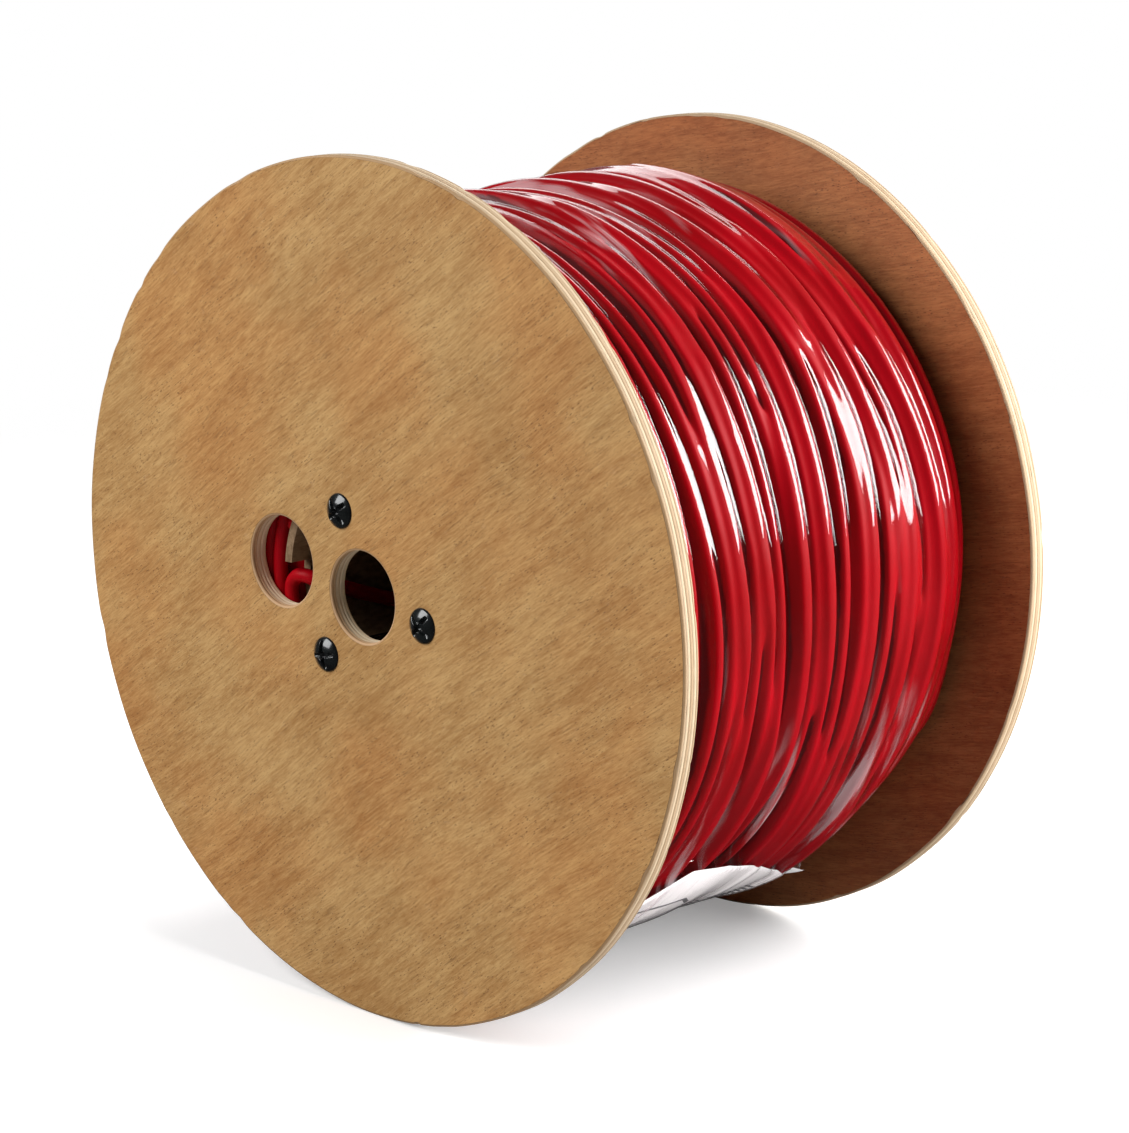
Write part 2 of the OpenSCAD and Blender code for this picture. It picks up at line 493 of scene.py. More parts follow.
class Effect:
    """A shader node group shared by several finishes."""

    made: dict = {}

    @classmethod
    def start(cls, name: str, ins: dict, outs: dict) -> tuple:
        """Starts a group with named inputs and outputs.

        Args:
            name: the group's name.
            ins: input names with their socket kind and default.
            outs: output names with their socket kind.

        Returns:
            The group, its wiring, its input node and its output node.
        """
        group = bpy.data.node_groups.new(name, "ShaderNodeTree")
        wires = Wiring(group)
        for label, (kind, default) in ins.items():
            socket = group.interface.new_socket(label, in_out="INPUT", socket_type=kind)
            if default is not None:
                socket.default_value = default
        for label, kind in outs.items():
            group.interface.new_socket(label, in_out="OUTPUT", socket_type=kind)
        source = group.nodes.new("NodeGroupInput")
        target = group.nodes.new("NodeGroupOutput")
        cls.made[name] = group
        return group, wires, source, target

    @classmethod
    def place(cls, wires: Wiring, name: str, ins: dict) -> bpy.types.Node:
        """Places the named group in a material with its own values."""
        if name not in cls.made:
            MAKERS[name]()
        made = wires.node("Group")
        made.node_tree = cls.made[name]
        wires.fill(made, ins)
        return made


FLOAT, VECTOR, COLOUR = "NodeSocketFloat", "NodeSocketVector", "NodeSocketColor"


def make_veneer_figure() -> None:
    """Pores, streaks and clouds of rotary-cut tropical veneer, grain along X."""
    _, wires, source, target = Effect.start(
        "veneer figure",
        {"Place": (VECTOR, None), "Pore density": (FLOAT, 0.5), "Shift": (FLOAT, 0.0)},
        {"Pores": FLOAT, "Streaks": FLOAT, "Clouds": FLOAT, "Height": FLOAT},
    )
    shift = wires.node("CombineXYZ", {0: source.outputs["Shift"], 2: source.outputs["Shift"]})
    place = wires.vector("ADD", source.outputs["Place"], shift)
    bend = wires.node("TexNoise", {"Vector": place, "Scale": 7.0, "Detail": 2.0})
    drift = wires.vector("SUBTRACT", bend.outputs["Color"], (0.5, 0.5, 0.5))
    wavy = wires.vector("ADD", place, wires.scaled(drift, (0.0, 0.0, 0.012)))
    pores = None
    for along, across, keep in ((300.0, 1150.0, 0.35), (520.0, 2100.0, 0.5)):
        stretched = wires.scaled(wavy, (along, 0.0, across))
        cells = wires.node("TexVoronoi", {"Vector": stretched, "Scale": 1.0, "Randomness": 1.0})
        dash = wires.between(cells.outputs["Distance"], 0.12, 0.3, 1.0, 0.0)
        chosen = wires.node("SeparateColor", {0: cells.outputs["Color"]}).outputs[0]
        shown = wires.between(chosen, keep, keep + 0.25)
        mark = wires.times(dash, shown)
        pores = mark if pores is None else wires.math("MAXIMUM", pores, mark)
    crowd = wires.noise(wires.scaled(wavy, (14.0, 0.0, 60.0)), 1.0, 4.0, 0.6)
    crowd = wires.between(crowd, 0.3, 0.62, 0.25, 1.0)
    pores = wires.times(wires.times(pores, crowd), source.outputs["Pore density"])
    broad = wires.noise(wires.scaled(wavy, (26.0, 0.0, 210.0)), 1.0, 5.0, 0.68)
    fine = wires.noise(wires.scaled(wavy, (150.0, 0.0, 1300.0)), 1.0, 3.0, 0.65)
    lines = wires.noise(wires.scaled(wavy, (85.0, 0.0, 1000.0)), 1.0, 2.0, 0.5)
    lines = wires.times(wires.between(lines, 0.55, 0.74), 0.55)
    lines = wires.times(wires.times(lines, crowd), source.outputs["Pore density"])
    pores = wires.math("MAXIMUM", pores, lines)
    streaks = wires.add(wires.times(broad, 0.5), wires.times(fine, 0.5))
    clouds = wires.noise(wires.scaled(wavy, (15.0, 0.0, 23.0)), 1.0, 5.0, 0.6)
    height = wires.take(wires.times(fine, 0.5), pores)
    wires.fill(target, {"Pores": pores, "Streaks": streaks, "Clouds": clouds, "Height": height})


def make_fine_wear() -> None:
    """Dust specks, faint scuffs and a slow dulling, for any handled surface."""
    _, wires, source, target = Effect.start(
        "fine wear",
        {"Place": (VECTOR, None), "Scale": (FLOAT, 1.0)},
        {"Dust": FLOAT, "Scuffs": FLOAT, "Dulling": FLOAT},
    )
    ins = {0: source.outputs["Place"], "Scale": source.outputs["Scale"]}
    place = wires.node("VectorMath", ins, operation="SCALE").outputs[0]
    dust = wires.between(wires.noise(place, 900.0, 2.0, 0.7), 0.66, 0.78)
    scuffs = wires.noise(wires.scaled(place, (1.0, 7.0, 1.6)), 120.0, 4.0, 0.7)
    scuffs = wires.between(scuffs, 0.6, 0.8)
    dulling = wires.noise(place, 30.0, 4.0, 0.6)
    wires.fill(target, {"Dust": dust, "Scuffs": scuffs, "Dulling": dulling})


def make_ply_edge() -> None:
    """The plies of a sawn and sanded board edge, with their glue lines and small voids.
    Place holds the run along the edge and the depth through the board, both in metres."""
    _, wires, source, target = Effect.start(
        "ply edge",
        {"Place": (VECTOR, None), "Light": (COLOUR, (1, 1, 1, 1)), "Dark": (COLOUR, (1, 1, 1, 1)),
         "Face": (COLOUR, (1, 1, 1, 1)), "Void": (COLOUR, (0, 0, 0, 1)), "Face depth": (FLOAT, 0.0)},
        {"Color": COLOUR, "Height": FLOAT},
    )
    run, depth, _ = wires.split(source.outputs["Place"])
    sway = wires.noise(wires.node("CombineXYZ", {0: run}), 45.0, 2.0)
    sway = wires.times(wires.take(sway, 0.5), 0.0006)
    level = wires.add(depth, sway)
    ply = wires.math("DIVIDE", level, BOARD_T / PLIES)
    odd = wires.math("PINGPONG", wires.add(ply, 0.5), 1.0)
    end_grain = wires.between(odd, 0.35, 0.65)
    glue = wires.off(wires.math("FRACT", ply), 0.5)
    glue = wires.between(glue, 0.43, 0.49)
    flat = wires.node("CombineXYZ", {0: run, 1: level})
    fibre = wires.noise(wires.scaled(flat, (220.0, 3200.0, 1.0)), 1.0, 4.0, 0.6)
    tubes = wires.noise(wires.scaled(flat, (2400.0, 1500.0, 1.0)), 1.0, 3.0, 0.6)
    texture = wires.node("Mix", {0: end_grain, 2: fibre, 3: tubes}).outputs[0]
    gaps = wires.noise(wires.scaled(flat, (55.0, 420.0, 1.0)), 1.0, 2.0, 0.5)
    gaps = wires.times(wires.between(gaps, 0.62, 0.68), wires.between(glue, 0.0, 0.6))
    tint = wires.blend(wires.times(end_grain, 0.6), source.outputs["Light"], source.outputs["Dark"])
    tint = wires.blend(wires.between(texture, 0.3, 0.75, 0.0, 0.35), tint, source.outputs["Dark"])
    tint = wires.blend(wires.times(glue, 0.45), tint, source.outputs["Dark"])
    face = wires.node("Math", {0: level, 1: source.outputs["Face depth"]}, operation="LESS_THAN")
    tint = wires.blend(wires.times(face, 0.85), tint, source.outputs["Face"])
    tint = wires.blend(gaps, tint, source.outputs["Void"])
    height = wires.take(wires.times(texture, 0.4), wires.add(gaps, wires.times(glue, 0.25)))
    wires.fill(target, {"Color": tint, "Height": height})


MAKERS = {
    "veneer figure": make_veneer_figure,
    "fine wear": make_fine_wear,
    "ply edge": make_ply_edge,
}


# ---------------------------------------------------------------- finishes


def worn(wires: Wiring, spot, scale: float = 1.0) -> list:
    """Places the fine wear.

    Args:
        wires: the material's wiring.
        spot: the place on the surface.
        scale: how fine it is.

    Returns:
        The outputs for dust, scuffs and dulling.
    """
    return list(Effect.place(wires, "fine wear", {"Place": spot, "Scale": scale}).outputs)


def new_finish(name: str) -> tuple[bpy.types.Material, Wiring, bpy.types.Node, bpy.types.Node]:
    """Starts a material.

    Args:
        name: its name.

    Returns:
        The material, its wiring, its surface shader and its output node.
    """
    made = bpy.data.materials.new(name)
    made.use_nodes = True
    wires = Wiring(made.node_tree)
    shader = wires.node("BsdfPrincipled")
    target = wires.node("OutputMaterial", {"Surface": shader})
    return made, wires, shader, target


@dataclass(frozen=True)
class VeneerFinish:
    """A bare veneer face."""

    name: str
    light: tuple
    dark: tuple
    pore: tuple
    grain_angle: float
    shift: float
    density: float = 0.8

    def make(self) -> bpy.types.Material:
        """Builds the material."""
        made, wires, shader, _ = new_finish(self.name)
        spot = wires.place()
        grain = (0, math.radians(self.grain_angle), 0)
        turned = wires.node("Mapping", {"Vector": spot, "Rotation": grain})
        ins = {"Place": turned, "Pore density": self.density, "Shift": self.shift}
        figure = Effect.place(wires, "veneer figure", ins)
        _, scuffs, _ = worn(wires, spot)
        clouds = wires.times(figure.outputs["Clouds"], 0.3)
        share = wires.add(wires.times(figure.outputs["Streaks"], 0.9), clouds)
        tint = wires.blend(wires.between(share, 0.44, 0.76), self.light, self.dark)
        warm = wires.between(wires.noise(spot, 16.0, 2.0), 0.35, 0.7, 0.0, 0.3)
        tint = wires.blend(warm, tint, tone(196, 138, 104), "SOFT_LIGHT")
        tint = wires.blend(wires.times(figure.outputs["Pores"], 0.95), tint, self.pore)
        tint = wires.blend(wires.times(scuffs, 0.06), tint, tone(235, 220, 200))
        wires.fill(shader, {
            "Base Color": tint,
            "Roughness": wires.between(figure.outputs["Streaks"], 0.3, 0.7, 0.5, 0.64),
            "Specular IOR Level": 0.35,
            "Normal": wires.bump(figure.outputs["Height"], 0.35, 0.00012),
        })
        return made


@dataclass(frozen=True)
class EdgeFinish:
    """A sawn and sanded plywood edge."""

    name: str
    light: tuple
    dark: tuple
    face: tuple
    face_depth: float

    def make(self) -> bpy.types.Material:
        """Builds the material."""
        made, wires, shader, _ = new_finish(self.name)
        spot = wires.place("UV")
        edge = Effect.place(wires, "ply edge", {
            "Place": spot, "Light": self.light, "Dark": self.dark, "Face": self.face,
            "Void": tone(96, 62, 40), "Face depth": self.face_depth,
        })
        _, _, dulling = worn(wires, spot)
        dull = wires.times(dulling, 0.16)
        tint = wires.blend(dull, edge.outputs["Color"], tone(190, 160, 125))
        wires.fill(shader, {
            "Base Color": tint,
            "Roughness": wires.between(dulling, 0.3, 0.7, 0.6, 0.75),
            "Specular IOR Level": 0.3,
            "Normal": wires.bump(edge.outputs["Height"], 0.5, 0.0002),
        })
        return made


@dataclass(frozen=True)
class JacketFinish:
    """An extruded plastic jacket or sleeve."""

    name: str
    base: tuple
    deep: tuple
    rough: float
    coat: float
    specular: float = 0.4
    # Colour painted into the deep creases between turns as shade; None paints none.
    gap: tuple | None = None

    def make(self) -> bpy.types.Material:
        """Builds the material."""
        made, wires, shader, _ = new_finish(self.name)
        _, scuffs, dulling = worn(wires, wires.place(), 0.6)
        lines = wires.noise(wires.scaled(wires.place("UV"), (12.0, 2600.0, 1.0)), 1.0, 3.0, 0.6)
        tint = wires.blend(wires.between(dulling, 0.35, 0.7), self.base, self.deep)
        tint = wires.blend(wires.times(scuffs, 0.008), tint, tone(235, 205, 200))
        # Painted shade: the jacket turns near-black red where the cover's creases are deep.
        if self.gap:
            gap = wires.node("Attribute", attribute_name="gap").outputs["Fac"]
            tint = wires.blend(wires.between(gap, 0.35, 1.0, 0.0, 0.8), tint, self.gap)
        wires.fill(shader, {
            "Base Color": tint,
            "Roughness": wires.between(dulling, 0.3, 0.7, self.rough, self.rough + 0.1),
            "Coat Weight": self.coat,
            "Coat Roughness": 0.12,
            "Specular IOR Level": self.specular,
            "Normal": wires.bump(lines, 0.12, 0.00008),
        })
        return made


@dataclass(frozen=True)
class MetalFinish:
    """Plated or bare metal with fine handling marks."""

    name: str
    base: tuple
    second: tuple
    metallic: float
    rough: float
    coat: float
    bump: float = 0.15

    def make(self) -> bpy.types.Material:
        """Builds the material."""
        made, wires, shader, _ = new_finish(self.name)
        spot = wires.place()
        dust, scuffs, dulling = worn(wires, spot, 4.0)
        tint = wires.blend(wires.between(dulling, 0.35, 0.68), self.base, self.second)
        tint = wires.blend(wires.times(dust, 0.25), tint, tone(150, 145, 135))
        wires.fill(shader, {
            "Base Color": tint,
            "Metallic": self.metallic,
            "Roughness": wires.between(scuffs, 0.0, 1.0, self.rough, self.rough + 0.2),
            "Coat Weight": self.coat,
            "Coat Roughness": 0.08,
            "Normal": wires.bump(dulling, self.bump, 0.0002),
        })
        return made


@dataclass(frozen=True)
class FibreFinish:
    """Spiral-wound fibre board."""

    name: str
    base: tuple
    dark: tuple

    def make(self) -> bpy.types.Material:
        """Builds the material."""
        made, wires, shader, _ = new_finish(self.name)
        spot = wires.place()
        x, y, z = wires.split(spot)
        angle = wires.math("DIVIDE", wires.math("ARCTAN2", z, x), TAU)
        lay = wires.math("FRACT", wires.add(angle, wires.math("DIVIDE", y, 0.11)))
        seam = wires.between(wires.off(lay, 0.5), 0.0, 0.012, 1.0, 0.0)
        pulp = wires.noise(wires.scaled(spot, (1.0, 0.35, 1.0)), 420.0, 5.0, 0.65)
        _, _, dulling = worn(wires, spot)
        tint = wires.blend(wires.between(pulp, 0.3, 0.7), self.base, self.dark)
        tint = wires.blend(wires.times(seam, 0.6), tint, self.dark)
        wires.fill(shader, {
            "Base Color": tint,
            "Roughness": wires.between(dulling, 0.3, 0.7, 0.75, 0.9),
            "Specular IOR Level": 0.2,
        })
        height = wires.take(wires.times(pulp, 0.3), seam)
        wires.put(shader.inputs["Normal"], wires.bump(height, 0.4, 0.0003))
        return made


@dataclass(frozen=True)
class FilmFinish:
    """Clear stretch film: glossy and milky in folds, slack and doubled places; the extra milkiness towards
    its top and bottom is painted sheen.
    """

    name: str = "stretch_film"
    haze_and_sheen: tuple = (0.86, 0.74, 0.76, 1.0)
    mirror: float = 0.06
    haze_least: float = 0.0
    haze_most: float = 0.42

    def make(self) -> bpy.types.Material:
        """Builds the material."""
        made, wires, shader, target = new_finish(self.name)
        spot = wires.place()
        lay = wires.place("UV")
        slack = wires.node("Attribute", attribute_name="slack").outputs["Fac"]
        fold = wires.noise(wires.scaled(lay, (12.0, 125.0, 1.0)), 1.0, 3.0, 0.55)
        broad = wires.noise(wires.scaled(lay, (16.0, 100.0, 1.0)), 1.0, 1.0, 0.4)
        height = wires.split(spot)[2]
        # The milky layer is raised towards the film's top and bottom: painted sheen where the surroundings
        # reflect; the fold patches and slack are the film's own haze.
        low, top = wires.between(height, -0.01, -0.10), wires.between(height, 0.115, 0.15)
        sheen_band = wires.math("MAXIMUM", low, top)
        strain = wires.noise(wires.scaled(lay, (30.0, 900.0, 1.0)), 1.0, 3.0, 0.6)
        cloud = wires.noise(wires.scaled(lay, (8.0, 45.0, 1.0)), 1.0, 3.0, 0.55)
        milk_and_sheen = wires.times(wires.between(fold, 0.44, 0.66), wires.between(cloud, 0.36, 0.62))
        milk_and_sheen = wires.times(milk_and_sheen, wires.between(sheen_band, 0.0, 1.0, 0.3, 1.0))
        milk_and_sheen = wires.add(milk_and_sheen, wires.times(slack, 0.12))
        amount = wires.between(milk_and_sheen, 0.2, 1.1, self.haze_least, self.haze_most)
        wires.fill(shader, {
            "Base Color": self.haze_and_sheen,
            "Roughness": wires.between(strain, 0.3, 0.7, 0.28, 0.4),
            "Specular IOR Level": 0.5,
        })
        normal = wires.bump(wires.add(broad, wires.times(strain, 0.02)), 0.10, 0.0012)
        wires.put(shader.inputs["Normal"], normal)
        clear = wires.node("BsdfTransparent", {"Color": (1.0, 0.985, 0.985, 1.0)})
        gloss = wires.node("BsdfGlossy", {"Color": (1, 1, 1, 1), "Roughness": 0.07, "Normal": normal})
        facing = wires.node("LayerWeight", {"Blend": 0.5, "Normal": normal}).outputs["Facing"]
        mirror = wires.add(wires.times(wires.math("POWER", facing, 5.0), 0.9), self.mirror)
        lit = wires.take(1.0, wires.node("LightPath").outputs["Is Shadow Ray"])
        skin = wires.node("MixShader", {0: wires.times(mirror, lit), 1: clear, 2: gloss})
        whole = wires.node("MixShader", {0: wires.times(amount, lit), 1: skin, 2: shader})
        wires.put(target.inputs["Surface"], whole)
        return made


@dataclass(frozen=True)
class PaperFinish:
    """White label paper with plain ruled lines."""

    name: str = "label_paper"
    sheet: tuple = (0.93, 0.91, 0.91, 1.0)
    ink: tuple = (0.03, 0.03, 0.035, 1.0)
    frame_mid: tuple = (0.029, 0.0385)
    frame_half: tuple = (0.034, 0.0105)
    line_w: float = 0.0022
    rules: tuple = (0.056, 0.1)
    rule_pitch: float = 0.004

    def make(self) -> bpy.types.Material:
        """Builds the material."""
        made, wires, shader, _ = new_finish(self.name)
        along, down, _ = wires.split(wires.place("UV"))
        du, dv = wires.off(along, self.frame_mid[0]), wires.off(down, self.frame_mid[1])
        side = wires.take(dv, self.frame_half[1])
        point = wires.take(wires.add(du, dv), self.frame_half[0])
        rim = wires.math("MAXIMUM", side, wires.times(point, 0.707))
        lines = wires.math("LESS_THAN", wires.math("ABSOLUTE", rim), self.line_w / 2)
        pitch, (first, last) = self.rule_pitch, self.rules
        rule = wires.math("PINGPONG", wires.take(down, first), pitch)
        rule = wires.math("LESS_THAN", wires.off(rule, pitch / 2), self.line_w / 2)
        band = wires.times(wires.math("GREATER_THAN", down, first), wires.math("LESS_THAN", down, last))
        width = wires.math("LESS_THAN", wires.off(along, 0.078), 0.062)
        lines = wires.math("MAXIMUM", lines, wires.times(wires.times(rule, band), width))
        fibres = wires.noise(wires.place(), 900.0, 4.0, 0.65)
        tint = wires.blend(wires.between(fibres, 0.3, 0.7, 0.0, 0.25), self.sheet, (0.80, 0.77, 0.77, 1.0))
        tint = wires.blend(wires.times(lines, 0.85), tint, self.ink)
        wires.fill(shader, {
            "Base Color": tint,
            "Roughness": wires.between(fibres, 0.3, 0.7, 0.55, 0.7),
            "Specular IOR Level": 0.3,
            "Normal": wires.bump(fibres, 0.15, 0.00008),
        })
        return made


@dataclass(frozen=True)
class FloorFinish:
    """Plain pale studio floor."""

    name: str = "studio_floor"

    def make(self) -> bpy.types.Material:
        """Builds the material."""
        made, wires, shader, target = new_finish(self.name)
        spot = wires.place()
        mottle = wires.noise(spot, 3.0, 3.0)
        tint = wires.blend(mottle, (0.90, 0.90, 0.90, 1), (0.86, 0.86, 0.86, 1))
        wires.fill(shader, {
            "Base Color": tint,
            "Roughness": 0.8,
            "Specular IOR Level": 0.1,
            "Emission Color": (1, 1, 1, 1),
            "Emission Strength": 0.25,
        })
        flat = wires.scaled(spot, (1, 1, 0))
        reach = wires.node("VectorMath", {0: flat}, operation="LENGTH").outputs["Value"]
        fade = wires.between(reach, 0.55, 1.5)
        clear = wires.node("BsdfTransparent")
        dull = wires.node("BsdfDiffuse", {"Color": (0.35, 0.35, 0.35, 1)})
        dark = wires.node("BsdfDiffuse", {"Color": (0.03, 0.03, 0.03, 1)})
        path = wires.node("LightPath")
        dull = wires.node("MixShader", {0: path.outputs["Is Glossy Ray"], 1: dull, 2: dark})
        whole = wires.node("MixShader", {0: path.outputs["Is Camera Ray"], 1: dull, 2: shader})
        whole = wires.node("MixShader", {0: fade, 1: whole, 2: clear})
        wires.put(target.inputs["Surface"], whole)
        return made


# ---------------------------------------------------------------- flanges


class Board(Enum):
    """The two flanges, by where their outer face lies."""

    FRONT = -1
    REAR = 1


@dataclass
class Hole:
    """A round hole through a board."""

    radius: float
    centre: tuple[float, float]
    segments: int


@dataclass
class Flange:
    """A round plywood board with eased rims, sawn holes and small chips."""

    name: str
    board: Board
    holes: list[Hole]
    finishes: list
    ease: float = 0.0009
    glue_half: float = 0.00012
    glue_in: float = 0.00011
    seed: int = 3

    def wall_levels(self) -> tuple[np.ndarray, np.ndarray]:
        """Depths through the board and how far each is set back from the full edge.

        Returns:
            Depths from the outer face, and set-backs, both in metres.
        """
        eased = self.ease * (1 - np.sin(np.radians([0, 22, 45, 68, 90])))
        levels, back = [*eased[::-1]], [*eased]
        for ply in range(1, PLIES):
            line = BOARD_T * ply / PLIES
            levels += [line - self.glue_half, line, line + self.glue_half]
            back += [0.0, self.glue_in, 0.0]
        levels += [*(BOARD_T - eased)]
        back += [*eased[::-1]]
        return np.array(levels), np.array(back)

    def make(self) -> bpy.types.Object:
        """Builds, dresses and joins the flange.

        Returns:
            The flange's object.
        """
        shell = Shell()
        side = self.board.value
        levels, back = self.wall_levels()
        outlines = []
        loops = [Hole(FLANGE_R, (0.0, 0.0), 720)] + self.holes
        for number, hole in enumerate(loops):
            is_rim = number == 0
            angle = full_turn(hole.segments)
            out = -1 if is_rim else 1
            wear = self.chips(angle, levels) if is_rim else np.zeros((len(angle), len(levels)))
            radius = hole.radius + out * (back[None, :] + wear)
            x = hole.centre[0] + radius * np.cos(angle)[:, None]
            z = hole.centre[1] + radius * np.sin(angle)[:, None]
            y = np.broadcast_to(side * (OUTER_Y - levels)[None, :], x.shape)
            points = np.stack([x, y, z], axis=-1)
            uv = np.zeros((len(angle) + 1, len(levels), 2))
            uv[..., 0] = (np.arange(len(angle) + 1) * TAU / len(angle) * hole.radius)[:, None]
            uv[..., 1] = levels[None, :]
            flip = is_rim != (side < 0)
            first = shell.add_grid(points, True, False, uv, 2 if is_rim else 3, flip)
            outlines.append((first, len(angle), len(levels), points))
        for end in (0, -1):
            self.close(shell, outlines, end)
        piece = shell.build(self.name)
        piece.data.polygons.foreach_set("use_smooth", [number > 1 for number in shell.finish_of])
        stands_for = (self.name.replace("_board", ""),)
        return settle(piece, self.finishes, stands_for, shell.finish_of)

    def chips(self, angle: np.ndarray, levels: np.ndarray) -> np.ndarray:
        """Small dents and torn veneer round the rim.

        Args:
            angle: angles round the rim.
            levels: depths through the board.

        Returns:
            How far each point of the rim is pushed in, metres.
        """
        rng = np.random.default_rng(self.seed)
        dent = np.zeros((len(angle), len(levels)))
        for _ in range(46):
            at, width = rng.uniform(0, TAU), rng.uniform(0.006, 0.03)
            deep = rng.uniform(0.0002, 0.0009)
            level = rng.choice([0.0, BOARD_T, BOARD_T * rng.uniform(0.1, 0.9)])
            away = np.abs((angle - at + math.pi) % TAU - math.pi)
            dent += deep * bell(away, width)[:, None] * bell(levels - level, 0.0011)[None, :]
        dent += 0.00012 * (1 + ripple(self.seed, angle, 0.0, 24, 1.0))[:, None]
        return dent

    def close(self, shell: Shell, outlines: list, end: int) -> None:
        """Fills one face of the board between its rim and its holes.

        Args:
            shell: the board's shell.
            outlines: first point, count, levels and points of each wall.
            end: 0 for the outer face, -1 for the inner one.
        """
        loops, numbers = [], []
        for first, count, levels_n, points in outlines:
            column = 0 if end == 0 else levels_n - 1
            loops.append([Vector((p[0], p[2], 0)) for p in points[:, column]])
            numbers += [first + k * levels_n + column for k in range(count)]
        outer = end == 0
        finish = 0 if outer else 1
        facing_minus_y = (self.board.value < 0) == outer
        for corners in tessellate_polygon(loops):
            a, b, c = (shell.points[numbers[k]] for k in corners)
            turn = (b[0] - a[0]) * (c[2] - a[2]) - (b[2] - a[2]) * (c[0] - a[0])
            ring = [numbers[k] for k in corners]
            if (turn > 0) == facing_minus_y:
                ring.reverse()
            shell.add_face(ring, finish=finish)


# ---------------------------------------------------------------- hardware


@dataclass
class TieBolt:
    """A quarter-inch bolt with a domed cross-recess head and a rolled thread."""

    number: int
    angle: float
    turn: float
    head_r: float = 0.0074
    head_h: float = 0.0036
    bed: float = 0.0005
    shank_r: float = 0.003175
    pitch: float = 0.00127
    arm_w: float = 0.0021
    arm_l: float = 0.0118
    arm_depth: float = 0.0019
    sides: int = 120

    def make(self, finish: bpy.types.Material) -> bpy.types.Object:
        """Builds, dresses and joins the bolt.

        Args:
            finish: its plating.

        Returns:
            The bolt's object.
        """
        seat = -OUTER_Y + self.bed
        turn = full_turn(self.sides)
        dome_r = (self.head_r**2 + self.head_h**2) / (2 * self.head_h) * 1.12
        rows_r = np.linspace(0.00008, self.head_r - 0.0004, 44)
        low = dome_r - math.sqrt(dome_r**2 - self.head_r**2)
        rings = []
        for r in rows_r:
            fall = (dome_r - math.sqrt(dome_r**2 - r**2)) * (self.head_h - 0.0009) / low
            rings.append((r, seat - self.head_h + fall + self.recess(r, turn)))
        head = self.head_r
        skirt = ((head - 0.0001, 0.00075), (head, 0.0005), (head, 0.0001), (head - 0.0002, 0.0))
        rings += [(r, seat - drop) for r, drop in (*skirt, (self.shank_r, 0.0))]
        thread_from, tip = 0.094, 0.1109
        rings.append((self.shank_r, thread_from - 0.001))
        for y in np.arange(thread_from, tip - 0.0006, self.pitch / 9):
            wave = (turn / TAU + y / self.pitch) % 1.0
            groove = np.abs(wave - 0.5) * 2
            fade = min(1.0, (y - thread_from) / 0.002)
            rings.append((self.shank_r - 0.00055 * groove * fade, y))
        rings += [(0.0024, tip - 0.0002), (0.0021, tip), (0.0003, tip)]
        x, z = spot_at(BOLT_CIRCLE_R, self.angle)
        grid = np.array([around(r, y, turn) for r, y in rings]) + np.array([x, 0.0, z])
        shell = Shell()
        first = shell.add_grid(grid, False, True, flip=True)
        last = first + (len(rings) - 1) * self.sides
        shell.add_face([first + k for k in range(self.sides)])
        shell.add_face([last + k for k in range(self.sides - 1, -1, -1)])
        piece = shell.build(f"tie_bolt_{self.number}_head_and_shank")
        return settle(piece, [finish], (f"tie_bolt_{self.number}",))

    def recess(self, radius: float, turn: np.ndarray) -> np.ndarray:
        """Depth of the cross recess at points of one ring.

        Args:
            radius: the ring's radius.
            turn: angles round the ring.

        Returns:
            Depths below the dome, metres.
        """
        around_head = turn - math.radians(self.turn)
        a, b = radius * np.cos(around_head), radius * np.sin(around_head)
        depth = np.zeros_like(turn)
        for along, across in ((a, b), (b, a)):
            taper = np.clip((self.arm_l / 2 - np.abs(along)) / 0.0022, 0, 1)
            wide = self.arm_w / 2 * (0.75 + 0.25 * taper)
            wall = soft_step((wide - np.abs(across)) / 0.00035)
            depth = np.maximum(depth, self.arm_depth * wall * taper**0.6)
        core = np.clip((0.0022 - radius) / 0.0009, 0, 1)
        return np.maximum(depth, (self.arm_depth + 0.0005) * core)


